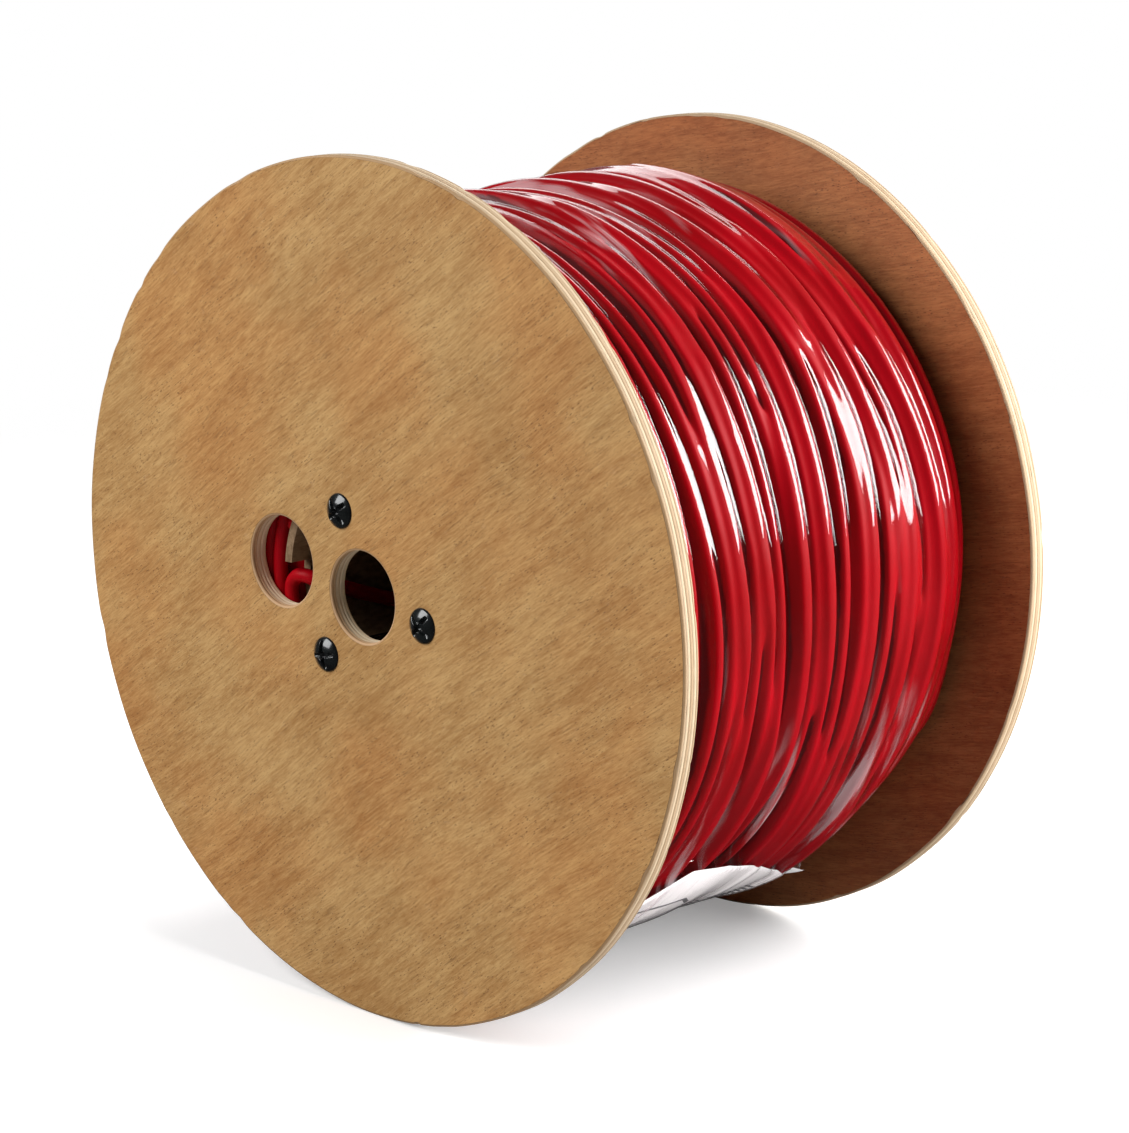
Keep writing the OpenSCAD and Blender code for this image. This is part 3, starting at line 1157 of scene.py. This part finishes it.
@dataclass
class TeeNut:
    """A stamped tee nut: round plate with four prongs bent out of it and a barrel."""

    number: int
    angle: float
    plate_r: float = 0.0095
    plate_t: float = 0.0014
    barrel_r: float = 0.00395
    bore_r: float = 0.00325

    def make(self, finish: bpy.types.Material) -> bpy.types.Object:
        """Builds, dresses and joins the tee nut.

        Args:
            finish: its plating.

        Returns:
            The tee nut's object.
        """
        x, z = spot_at(BOLT_CIRCLE_R, self.angle)
        centre = np.array([x, 0.0, z])
        shell = Shell()
        sides = 160
        turn = full_turn(sides)
        notch = np.zeros(sides)
        for at in (0.25, 0.75, 1.25, 1.75):
            away = np.abs((turn - at * math.pi + math.pi) % TAU - math.pi)
            notch = np.maximum(notch, np.clip((0.145 - away) / 0.03, 0, 1))
        rim = self.plate_r - 0.0026 * notch
        top, ease = OUTER_Y + self.plate_t, 0.00025
        barrel, bore = self.barrel_r, self.bore_r
        rows = [
            (barrel, 0.1012), (barrel, OUTER_Y - 0.0004), (barrel + 0.0004, OUTER_Y),
            (rim - 0.0001, OUTER_Y), (rim, OUTER_Y + ease),
            (rim, top - ease), (rim - ease, top), (rim * 0.75, top - 0.00005),
            (0.0054, top), (0.0047, top + 0.0001), (0.0042, top - 0.0001), (bore + 0.0002, top - 0.0007),
            (bore, top - 0.0011), (bore, 0.1012),
        ]
        grid = np.array([around(r, y, turn) for r, y in rows])
        shell.add_grid(grid + centre, True, True, flip=True)
        for at in (0.25, 0.75, 1.25, 1.75):
            self.prong(shell, centre, at * math.pi)
        piece = shell.build(f"tee_nut_{self.number}_stamped")
        return settle(piece, [finish], (f"tee_nut_{self.number}",))

    def prong(self, shell: Shell, centre: np.ndarray, angle: float) -> None:
        """Adds one bent, pointed prong.

        Args:
            shell: where it goes.
            centre: the nut's centre.
            angle: its direction.
        """
        out = np.array([math.cos(angle), 0, math.sin(angle)])
        side = np.array([-math.sin(angle), 0, math.cos(angle)])
        rows = []
        for depth, wide in ((-0.0004, 0.0012), (0.0006, 0.0012), (0.003, 0.0009), (0.0049, 0.0002)):
            mid = centre + out * (self.plate_r - 0.0019) + np.array([0, OUTER_Y - depth, 0])
            thick = 0.0005 if depth < 0.004 else 0.0002
            corners = ((1, 1), (1, -1), (-1, -1), (-1, 1))
            rows.append([mid + out * thick * u + side * wide * v for u, v in corners])
        first = shell.add_grid(np.array(rows), False, True, flip=True)
        shell.add_face([first + k for k in range(4)])
        shell.add_face([first + 12 + k for k in (3, 2, 1, 0)])


# ---------------------------------------------------------------- cable


@dataclass
class Winding:
    """The cable in its outer layers, laid turn by turn on what lies below."""

    samples: int = 360
    step: float = 0.00025
    half_width: float = 0.0967
    end_y: float = 0.062
    end_r: float = 0.1541
    end_from: float = 96.5
    end_arc: float = 61.5
    depth: float = 0.0152
    swell: float = 0.0016
    press_pulls: int = 44
    press_gap: float = 0.0002
    crease_from: float = 0.0014
    crease_over: float = 0.0014
    crease_depth: float = 0.0016
    press_from: float = 0.0016
    press_share: float = 0.3
    lower_turns: int = 30
    upper_turns: int = 26
    back_from: float = 24.66
    start_on: float = 0.35
    fan: float = 0.012
    near_y: float = -0.0945
    far_y: float = 0.087
    seed: int = 21
    slips: tuple = (
        (3.02, 0.10, -0.007), (6.05, 0.13, -0.009), (9.72, 0.11, -0.007), (13.03, 0.13, -0.008),
        (16.70, 0.12, 0.006), (20.05, 0.13, -0.008),
    )
    edge: tuple = (
        (-0.0998, 0.1510), (-0.078, 0.1550), (-0.045, 0.1575), (0.0, 0.1585),
        (0.045, 0.1590), (0.075, 0.1565), (0.092, 0.1515), (0.0998, 0.1480),
    )

    def __post_init__(self) -> None:
        """Sets out the table of how high a new turn would lie."""
        self.grid_y = np.arange(-0.1, 0.1 + self.step / 2, self.step)
        profile = np.interp(self.grid_y, [p[0] for p in self.edge], [p[1] for p in self.edge])
        self.core_r = profile - self.depth
        turn = np.arange(self.samples)[:, None] * TAU / self.samples
        swell = self.swell * ripple(self.seed + 9, turn, self.grid_y[None, :], 2, 0.024)
        self.core = self.core_r[None, :] + swell
        self.support = self.core + CABLE_D / 2
        self.skin = self.core.copy()

    def lay(self, angle: np.ndarray, y: np.ndarray) -> np.ndarray:
        """Lays one stretch of cable of at most a turn on what is there.

        Args:
            angle: sample numbers round the spool.
            y: places along the axis.

        Returns:
            The radius of the cable's middle at each sample.
        """
        at = angle % self.samples
        column = np.round((y - self.grid_y[0]) / self.step).astype(int)
        rest = self.support[at, np.clip(column, 0, len(self.grid_y) - 1)]
        radius = rest.copy()
        for _ in range(16):
            padded = np.concatenate([radius[:1].repeat(3), radius, radius[-1:].repeat(3)])
            eased = np.convolve(padded, np.ones(7) / 7, mode="valid")
            radius = np.maximum(rest, eased)
        return radius

    def press(self, angle: np.ndarray, y: np.ndarray, radius: np.ndarray) -> None:
        """Records a laid stretch as support for the next turns and as part of the skin."""
        at = angle % self.samples
        reach = int(CABLE_D / self.step)
        column = np.round((y - self.grid_y[0]) / self.step).astype(int)
        for shift in range(-reach, reach + 1):
            here = np.clip(column + shift, 0, len(self.grid_y) - 1)
            off = self.grid_y[here] - y
            rise = np.sqrt(np.maximum(CABLE_D**2 - off**2, 0))
            near = np.abs(off) < CABLE_D
            np.maximum.at(self.support, (at[near], here[near]), (radius + rise)[near])
            half = np.abs(off) < CABLE_D / 2
            crown = np.sqrt(np.maximum((CABLE_D / 2) ** 2 - off**2, 0))
            np.maximum.at(self.skin, (at[half], here[half]), (radius + crown)[half])

    def run(self, start: int, turns: float, place) -> None:
        """Lays a whole layer.

        Args:
            start: first sample's number.
            turns: how many turns.
            place: gives the place along the axis from the turns laid.
        """
        count = int(round(turns * self.samples))
        angle = start + np.arange(count + 1)
        y = place(angle, np.arange(count + 1) / self.samples)
        y = np.clip(y, -self.half_width, self.half_width)
        for begin in range(0, count + 1, self.samples // 2):
            part = slice(begin, begin + self.samples // 2)
            self.press(angle[part], y[part], self.lay(angle[part], y[part]))

    def lower_place(self, angle: np.ndarray, turns: np.ndarray) -> np.ndarray:
        """Places of the lower layer, front to rear with a little wander."""
        theta = angle * TAU / self.samples
        y = -self.half_width + 2 * self.half_width * turns / self.lower_turns
        return y + 0.0007 * ripple(self.seed + 1, theta, y, 4, 0.05)

    def upper_place(self, angle: np.ndarray, turns: np.ndarray) -> np.ndarray:
        """Places of the loose upper layer, front to the outer end's lane."""
        theta = angle * TAU / self.samples
        rng = np.random.default_rng(self.seed)
        paired = np.arange(25) % 2 == 0
        gaps = np.where(paired, rng.uniform(0.74, 0.92, 25), rng.uniform(1.30, 1.80, 25))
        stations = np.concatenate([[0], np.cumsum(gaps)])
        stations = stations / np.interp(self.back_from, np.arange(26), stations)
        share = np.interp(np.minimum(turns, self.back_from), np.arange(26), stations)
        out = self.near_y + (self.far_y - self.near_y) * share
        home = soft_step((turns - self.back_from) / 0.6)
        y = out + (self.end_y - out) * home
        sway = 0.0046 * ripple(self.seed + 2, theta, y, 4, 0.08)
        sway = sway + 0.0028 * ripple(self.seed + 3, theta, turns * 0.01, 3, 0.012)
        degrees = np.degrees(theta) % 360
        fan = soft_step((degrees - 35) / 55) * np.clip((330 - degrees) / 150, 0, 1)
        front = np.clip((0.04 - y) / 0.05, 0, 1) * np.clip((y + 0.097) / 0.03, 0, 1)
        sway = sway - self.fan * fan * front
        for at, width, slip in self.slips:
            sway = sway + slip * bell(turns - at, width)
        calm = soft_step((self.upper_turns - self.start_on - turns) / 0.35)
        edge = np.clip((y + 0.097) / 0.012, 0, 1)
        return y + sway * calm * edge

    def make(self, jacket: bpy.types.Material, cut: bpy.types.Material) -> None:
        """Lays both layers, then builds and dresses the winding and the outer end.

        Args:
            jacket: the jacket's finish.
            cut: the finish of a cut face.
        """
        last = int(round(self.end_from / 360 * self.samples))
        first = last + int(self.samples * self.start_on)
        self.run(first, self.lower_turns, self.lower_place)
        self.run(first, self.upper_turns - self.start_on, self.upper_place)
        shell = Shell()
        self.cover(shell)
        for radius_mm in (63.4, 69.6, 75.8):
            turn = full_turn(144)
            sweep(shell, around(radius_mm * MM, -0.0967, turn), CABLE_D / 2, 14, closed=True)
        turn = np.radians(np.linspace(212, 520, 130))
        sweep(shell, around(0.05715, -0.0967, turn), CABLE_D / 2, 14)
        piece = shell.build("cable_turns")
        # Each cover point gets its crease depth, which the jacket turns into painted shade.
        marks = np.zeros(len(shell.points))
        rows, wide = self.gap.shape
        skin = marks[: rows * self.columns].reshape(rows, self.columns)
        skin[:, self.skin_from : self.skin_from + wide] = self.gap
        mark_points(piece, "gap", marks)
        settle(piece, [jacket], ("cable_winding",))
        self.outer_end(jacket, cut)

    def cover(self, shell: Shell) -> None:
        """Adds the turns' outer surface, pressed together by the film, down to the tube.

        Args:
            shell: where the faces go.
        """
        bore, wall, rows, wall_rows = 0.05405, 0.0996, 400, 8
        y = np.linspace(-wall, wall, rows)
        turns = np.array([np.interp(y, self.grid_y, row) for row in self.skin])
        turns = even_out(turns, 2, round_spool=True)
        profile = np.interp(y, [p[0] for p in self.edge], [p[1] for p in self.edge])
        proud = turns - (profile - self.press_from)[None, :]
        turns = np.where(proud > 0, turns - proud * (1 - self.press_share), turns)
        tight = stretch_over(turns, self.press_pulls, 1)
        deep = soft_step((even_out(tight - turns, 9) - self.crease_from) / self.crease_over)
        outer = np.maximum(turns, tight - self.press_gap - self.crease_depth * deep)
        outer = even_out(outer, 2)
        self.cover_y, self.cover_r = y, outer
        # The crease depth that sinks the cover also sets the jacket's painted crease shade.
        self.gap = deep
        low = bore + 0.028
        share = np.linspace(0, 1, wall_rows)[None, :]
        side = low + (outer[:, :1] - 0.001 - low) * share
        back = low + (outer[:, -1:] - 0.001 - low) * share[:, ::-1]
        ones = np.ones((self.samples, 1))
        inner = [ones * bore, ones * bore, ones * (bore + 0.027)]
        radii = np.hstack([*inner, side, outer, back, ones * (bore + 0.001)])
        near, far = np.full(wall_rows, -wall), np.full(wall_rows, wall)
        places = np.concatenate([[wall, -0.0915, -0.0915], near, y, far, [wall]])
        self.skin_from = len(inner) + wall_rows
        turn = full_turn(self.samples)
        grid = around(radii, places[None, :], turn[:, None])
        self.columns = grid.shape[1]
        uv = np.zeros((self.samples + 1, self.columns, 2))
        uv[..., 0] = np.linspace(0, TAU * WOUND_R, self.samples + 1)[:, None]
        uv[:-1, self.skin_from : self.skin_from + rows, 1] = y[None, :]
        uv[-1] = uv[0]
        uv[-1, :, 0] = TAU * WOUND_R
        uv = np.concatenate([uv, uv[:, :1]], axis=1)
        shell.add_grid(grid, True, True, uv)

    def outer_end(self, jacket: bpy.types.Material, cut: bpy.types.Material) -> None:
        """Builds the cable's outer end, which lies in the last layer.

        Args:
            jacket: the jacket's finish.
            cut: the finish of a cut face.
        """
        y, radius = self.end_y, self.end_r
        arc = np.radians(np.linspace(self.end_from, self.end_from + self.end_arc, 40))
        shell = Shell()
        sweep(shell, around(radius, y, arc), CABLE_D / 2, 24, twist=0.012, cap_finish=1)
        piece = shell.build("outer_end_cable")
        settle(piece, [jacket, cut], ("outer_end_jacket",), shell.finish_of)
        self.end_at = (self.end_from + self.end_arc, y, radius)


@dataclass
class Conductors:
    """The two stripped conductors at one end of the cable."""

    finishes: dict

    def make_outer(self, angle: float, y: float, radius: float) -> None:
        """Builds the outer end's sleeves and copper.

        Args:
            angle: where the jacket is cut, degrees.
            y: place along the axis.
            radius: the cable's radius on the spool.
        """
        for letter, offset in (("a", -0.0013), ("b", 0.0013)):
            for part, kind, first, last in (("sleeve", letter, -0.6, 6), ("copper", "copper", 5, 10)):
                arc = np.radians(np.linspace(angle + first, angle + last, 14))
                self.one(f"outer_end_{part}_{letter}", around(radius, y + offset, arc), kind)

    def one(self, node: str, line: np.ndarray, kind: str) -> None:
        """Builds one sleeve or copper with eased ends.

        Args:
            node: the CAD node it stands for.
            line: its middle line.
            kind: "a", "b" or "copper".
        """
        radius = COPPER_D / 2 if kind == "copper" else SLEEVE_D / 2
        shell = Shell()
        sweep(shell, line, radius, 18)
        settle(shell.build(node + "_wire"), [self.finishes[kind]], (node,))


@dataclass
class StartEnd:
    """The cable's inner end, seen through the start hole."""

    stations: tuple = (
        (-51.6, -96.7, -24.4), (-54.6, -96.7, -17.0), (-56.6, -96.7, -10.0), (-56.2, -96.6, -4.6),
        (-53.0, -96.5, -1.2), (-48.4, -96.2, -0.4), (-44.4, -94.0, -1.8), (-42.4, -88.5, -4.2),
        (-42.2, -80.0, -7.5), (-42.6, -68.0, -12.0), (-42.4, -55.0, -16.5), (-41.2, -42.0, -20.5),
        (-39.8, -30.0, -24.0),
    )

    def make(self, jacket: bpy.types.Material, cut: bpy.types.Material) -> None:
        """Builds and dresses the inner end.

        Args:
            jacket: the jacket's finish.
            cut: the finish of the cut face.
        """
        line = smooth_line(np.array(self.stations) * MM, 8)
        shell = Shell()
        sweep(shell, line, CABLE_D / 2, 32, twist=0.012, cap_finish=1)
        piece = shell.build("start_end_cable")
        settle(piece, [jacket, cut], ("start_end_jacket",), shell.finish_of)


# ---------------------------------------------------------------- film and label


@dataclass
class Wrap:
    """The stretch film over the winding, with the paper label under it."""

    winding: Winding
    angles: int = 480
    rows: int = 300
    half_width: float = 0.0990
    pulls: int = 14
    label_y: tuple = (-0.076, 0.080)
    label_low: float = -100.0
    label_edge: tuple = (
        (-76, -50.5), (-59, -46.5), (-39, -42.5), (-15, -44.0), (20, -50.5), (55, -58.5), (80, -63.5),
    )

    def envelope(self) -> None:
        """Finds the taut surface over the turns."""
        winding = self.winding
        self.y = np.linspace(-self.half_width, self.half_width, self.rows)
        self.theta = full_turn(self.angles)
        coarse = np.arange(winding.samples + 1) * TAU / winding.samples
        skin = np.vstack([winding.cover_r, winding.cover_r[:1]])
        by_y = np.array([np.interp(self.y, winding.cover_y, row) for row in skin])
        self.skin = np.array([np.interp(self.theta, coarse, by_y[:, k]) for k in range(self.rows)]).T
        self.film = stretch_over(self.skin, self.pulls, 2)

    def label_top(self, y: np.ndarray) -> np.ndarray:
        """The label's upper edge, degrees, at places along the axis."""
        y_mm, degrees = zip(*self.label_edge)
        return np.interp(y * 1000, y_mm, degrees)

    def make_label(self, finish: bpy.types.Material) -> None:
        """Builds the label as a sheet over the turns and under the film.

        Args:
            finish: its paper.
        """
        y = np.linspace(*self.label_y, 130)
        top = self.label_top(y)
        share = np.linspace(0, 1, 110)
        angle = np.radians(self.label_low + (top - self.label_low)[None, :] * share[:, None])
        stiff = stretch_over(self.skin, 220, 1)
        stiff = np.maximum(stiff, 0.1584) + 0.0002
        stiff += 0.0009 * np.clip(ripple(77, self.theta[:, None], self.y[None, :], 9, 0.05), -1, 1)
        self.paper_r = np.maximum(stiff, self.film + 0.0001)
        column = (y - self.y[0]) / (self.y[1] - self.y[0])
        low = np.clip(column.astype(int), 0, self.rows - 2)
        part = column - low
        row = (angle % TAU) / TAU * self.angles
        row_low = row.astype(int) % self.angles
        row_part = row - row.astype(int)
        row_high = (row_low + 1) % self.angles

        def at(rows_n: np.ndarray) -> np.ndarray:
            """The paper's radius at whole rows, between two columns."""
            paper = self.paper_r
            return paper[rows_n, low[None, :]] * (1 - part) + paper[rows_n, low[None, :] + 1] * part

        radius = at(row_low) * (1 - row_part) + at(row_high) * row_part
        tip = bell(y - 0.080, 0.012)[None, :] * bell(1 - share, 0.12)[:, None]
        radius = radius + 0.0022 * tip
        points = around(radius, y[None, :], angle)
        uv = np.zeros((110, 130, 2))
        uv[..., 0] = (y - y[0])[None, :]
        uv[..., 1] = (np.radians(-42.5) - angle) * 0.16
        shell = Shell()
        shell.add_grid(points, uv=uv)
        piece = shell.build("paper_label_sheet")
        settle(piece, [finish], ("paper_label",))

    def make_film(self, finish: bpy.types.Material) -> None:
        """Builds the film as a sheet round the whole winding.

        Args:
            finish: the film's finish.
        """
        degrees = np.degrees(self.theta)
        degrees = np.where(degrees > 180, degrees - 360, degrees)
        over = ((self.y >= self.label_y[0]) & (self.y <= self.label_y[1]))[None, :]
        over = over & (degrees[:, None] >= self.label_low)
        over = over & (degrees[:, None] <= self.label_top(self.y)[None, :])
        below = np.where(over, self.paper_r + 0.00025, self.film)
        radius = even_out(stretch_over(below, 5, 1) + FILM_T, 6)
        slack = np.clip((radius - self.skin) / 0.004, 0, 1)
        crease = ripple(91, self.theta[:, None], self.y[None, :], 22, 0.018)
        near_front = bell(self.y + 0.085, 0.03)[None, :]
        at_top = bell(degrees - 82, 42)[:, None]
        ridge = np.clip(1 - np.abs(crease) * 3.2, 0, 1) ** 2
        radius = radius + 0.0007 * ridge * near_front * at_top
        tail = bell(degrees[:, None] + 61 - (self.y[None, :] - 0.080) * 850, 4.0)
        radius = radius + 0.0045 * tail * bell(self.y - 0.089, 0.008)[None, :]
        edge = np.clip((np.abs(self.y) - (self.half_width - 0.003)) / 0.003, 0, 1)[None, :]
        radius = radius - 0.0016 * edge**2
        points = around(radius, self.y[None, :], self.theta[:, None])
        uv = np.zeros((self.angles + 1, self.rows, 2))
        uv[..., 0] = np.linspace(0, TAU * WOUND_R, self.angles + 1)[:, None]
        uv[..., 1] = (self.y + self.half_width)[None, :]
        shell = Shell()
        shell.add_grid(points, wrap_rows=True, uv=uv)
        piece = shell.build("stretch_film_wrap")
        doubled = 6.0 * tail * bell(self.y - 0.084, 0.006)[None, :]
        slack = slack + 0.5 * ridge * near_front * at_top + doubled
        mark_points(piece, "slack", slack.ravel())
        settle(piece, [finish], ("stretch_film",))


# ---------------------------------------------------------------- studio


@dataclass(frozen=True)
class SoftBox:
    """A rectangular soft light that isn't seen itself."""

    name: str
    towards: tuple[float, float, float]
    distance: float
    size: tuple[float, float]
    radiance: float
    in_gloss: bool = True
    only_on: str = ""

    def make(self) -> bpy.types.Object:
        """Hangs the light so that it faces the spool."""
        light = bpy.data.lights.new(self.name, "AREA")
        light.shape = "RECTANGLE"
        light.size, light.size_y = self.size
        light.energy = self.radiance * math.pi * self.size[0] * self.size[1]
        lamp = bpy.data.objects.new(self.name, light)
        direction = Vector(self.towards).normalized()
        lamp.location = direction * self.distance
        lamp.rotation_euler = direction.to_track_quat("Z", "Y").to_euler()
        lamp.visible_camera = False
        lamp.visible_glossy = self.in_gloss
        if self.only_on:
            lit = bpy.data.collections.new(self.name + "_lit")
            lit.objects.link(bpy.data.objects[self.only_on])
            lamp.light_linking.receiver_collection = lit
        bpy.context.scene.collection.objects.link(lamp)
        return lamp


@dataclass
class Studio:
    """Pale floor, soft lights, white surroundings and the camera."""

    floor_z: float = -FLANGE_R
    floor_half: float = 7.0
    boxes: tuple = (
        SoftBox("key_front_left", (-0.50, -1.0, 0.75), 2.0, (1.3, 1.3), 7.6),
        SoftBox("strip_rear_right", (0.60, 0.73, 0.34), 1.35, (0.95, 0.70), 14.0),
        SoftBox("side_right", (0.93, 0.32, 0.10), 1.7, (0.6, 1.2), 9.0, False),
        SoftBox(
            "label_low_right", (0.42, -0.16, -0.17), 0.50, (0.3, 0.08), 34.0, False, "paper_label_sheet"
        ),
        SoftBox("rear_left_sheen", (-0.53, 0.73, 0.50), 1.7, (1.3, 0.7), 2.2),
        SoftBox("floor_overhead", (0.0, 0.001, 1.0), 1.2, (0.5, 0.5), 11.0, False, "studio_floor"),
    )

    def make(self) -> None:
        """Builds the studio."""
        self.floor()
        for box in self.boxes:
            box.make()
        self.surroundings()
        self.camera()
        bpy.context.scene.view_settings.view_transform = "Standard"

    def floor(self) -> None:
        """Lays the floor under the flanges."""
        half = self.floor_half
        shell = Shell()
        lines = np.linspace(-half, half, 9)
        x, y = np.meshgrid(lines, lines, indexing="ij")
        shell.add_grid(np.stack([x, y, np.full_like(x, self.floor_z)], -1))
        piece = shell.build("studio_floor")
        piece.data.materials.append(FloorFinish().make())

    def surroundings(self) -> None:
        """White all round for the eye, dimmer for light and gloss."""
        world = bpy.data.worlds.new("studio")
        world.use_nodes = True
        wires = Wiring(world.node_tree)
        path = wires.node("LightPath")
        seen = wires.node("Background", {"Color": (1, 1, 1, 1), "Strength": 1.0})
        fill = wires.node("Background", {"Color": (1, 1, 1, 1), "Strength": 0.04})
        gloss = wires.node("Background", {"Color": (1, 1, 1, 1), "Strength": 0.03})
        both = wires.node("MixShader", {0: path.outputs["Is Glossy Ray"], 1: fill, 2: gloss})
        whole = wires.node("MixShader", {0: path.outputs["Is Camera Ray"], 1: both, 2: seen})
        wires.node("OutputWorld", {"Surface": whole})
        bpy.context.scene.world = world

    def camera(self) -> None:
        """Sets the camera: right of the front, a little above the axis."""
        lens = bpy.data.cameras.new("camera")
        lens.sensor_fit, lens.sensor_width, lens.lens = "HORIZONTAL", 36.0, 111.1
        lens.clip_end = 60.0
        eye = bpy.data.objects.new("camera", lens)
        eye.location = (1.0269, -1.0138, 0.3210)
        eye.rotation_euler = tuple(math.radians(a) for a in (77.2330, 0.9247, 44.9555))
        bpy.context.scene.collection.objects.link(eye)
        bpy.context.scene.camera = eye


# ---------------------------------------------------------------- the spool


def dress_cad(node: str, finish: bpy.types.Material) -> None:
    """Puts a finish on a CAD object that is shown as it is."""
    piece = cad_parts[node]
    piece.data.materials.clear()
    piece.data.materials.append(finish)
    log.info("%s: CAD object, dressed", node)


def make_flanges() -> None:
    """Builds both flanges with their veneers and sawn edges."""
    veneer = {
        "front": (tone(206, 165, 108), tone(166, 120, 66), tone(98, 62, 28), 34.0, 0.0),
        # The inner veneer is darker and redder than the outer faces: partly its own tone, partly painted
        # red bounce and shade from the winding.
        "inner": (tone(184, 122, 74), tone(144, 86, 47), tone(84, 42, 20), 10.0, 3.1),
        "rear": (tone(200, 158, 110), tone(166, 122, 78), tone(108, 70, 40), 8.0, 7.7),
    }
    faces = {name: VeneerFinish(name + "_veneer", *look).make() for name, look in veneer.items()}
    rim = EdgeFinish("sanded_rim", tone(222, 200, 168), tone(168, 134, 100), tone(186, 148, 106), 0.0006)
    # Sawn hole walls: the cream of fresh-sawn plies, brightened to near white as painted light for walls
    # the lamps barely reach.
    sawn = EdgeFinish("sawn_hole", tone(252, 234, 204), tone(224, 192, 152), tone(204, 160, 116), 0.0026)
    shared = [faces["inner"], rim.make(), sawn.make()]
    spots = [spot_at(BOLT_CIRCLE_R, angle) for _, angle, _ in BOLTS]
    arbor = Hole(ARBOR_R, (0.0, 0.0), 128)
    front_holes = [arbor, Hole(ARBOR_R, spot_at(*START_HOLE_AT), 128)]
    front_holes += [Hole(0.00338, spot, 40) for spot in spots]
    rear_holes = [arbor] + [Hole(0.004, spot, 40) for spot in spots]
    Flange("front_flange_board", Board.FRONT, front_holes, [faces["front"], *shared], seed=3).make()
    Flange("rear_flange_board", Board.REAR, rear_holes, [faces["rear"], *shared], seed=8).make()


def make_hardware() -> None:
    """Dresses the core tube and builds the bolts and tee nuts."""
    dress_cad("core_tube", FibreFinish("wound_fibre", tone(150, 124, 96), tone(112, 88, 64)).make())
    plating = MetalFinish("black_zinc", tone(34, 38, 38), tone(20, 22, 24), 0.35, 0.22, 0.6).make()
    zinc = MetalFinish("bright_zinc", tone(200, 200, 198), tone(168, 170, 172), 1.0, 0.28, 0.0).make()
    for number, angle, turn in BOLTS:
        TieBolt(number, angle, turn).make(plating)
        TeeNut(number, angle).make(zinc)


def make_cable() -> Winding:
    """Builds the wound cable and both its ends.

    Returns:
        The winding, which the film and the label lie on.
    """
    # crease is the near-black red painted as shade into the creases between turns.
    red, deep, crease = (0.40, 0.0, 0.006, 1), (0.33, 0.0, 0.003, 1), (0.05, 0.0, 0.001, 1)
    jacket = JacketFinish("red_jacket", red, deep, 0.42, 0.0, 0.10, crease).make()
    cut = JacketFinish("cut_face", (0.36, 0.01, 0.015, 1), (0.28, 0.008, 0.01, 1), 0.55, 0.0).make()
    winding = Winding()
    winding.make(jacket, cut)
    StartEnd().make(jacket, cut)
    sleeve_red, sleeve_deep = (0.42, 0.01, 0.01, 1), (0.34, 0.008, 0.008, 1)
    bright, dull = (0.78, 0.36, 0.22, 1), (0.62, 0.26, 0.15, 1)
    finishes = {
        "a": JacketFinish("black_sleeve", tone(38, 38, 40), tone(26, 26, 28), 0.38, 0.1).make(),
        "b": JacketFinish("red_sleeve", sleeve_red, sleeve_deep, 0.38, 0.1).make(),
        "copper": MetalFinish("bare_copper", bright, dull, 1.0, 0.25, 0.0).make(),
    }
    Conductors(finishes).make_outer(*winding.end_at)
    for letter in ("a", "b"):
        dress_cad(f"start_end_sleeve_{letter}", finishes[letter])
        dress_cad(f"start_end_copper_{letter}", finishes["copper"])
    return winding


def main() -> None:
    """Builds the spool and the studio."""
    make_flanges()
    make_hardware()
    wrap = Wrap(make_cable())
    wrap.envelope()
    wrap.make_label(PaperFinish().make())
    wrap.make_film(FilmFinish().make())
    Studio().make()

    log.info("sizes written")


if __name__ == "__main__":
    main()
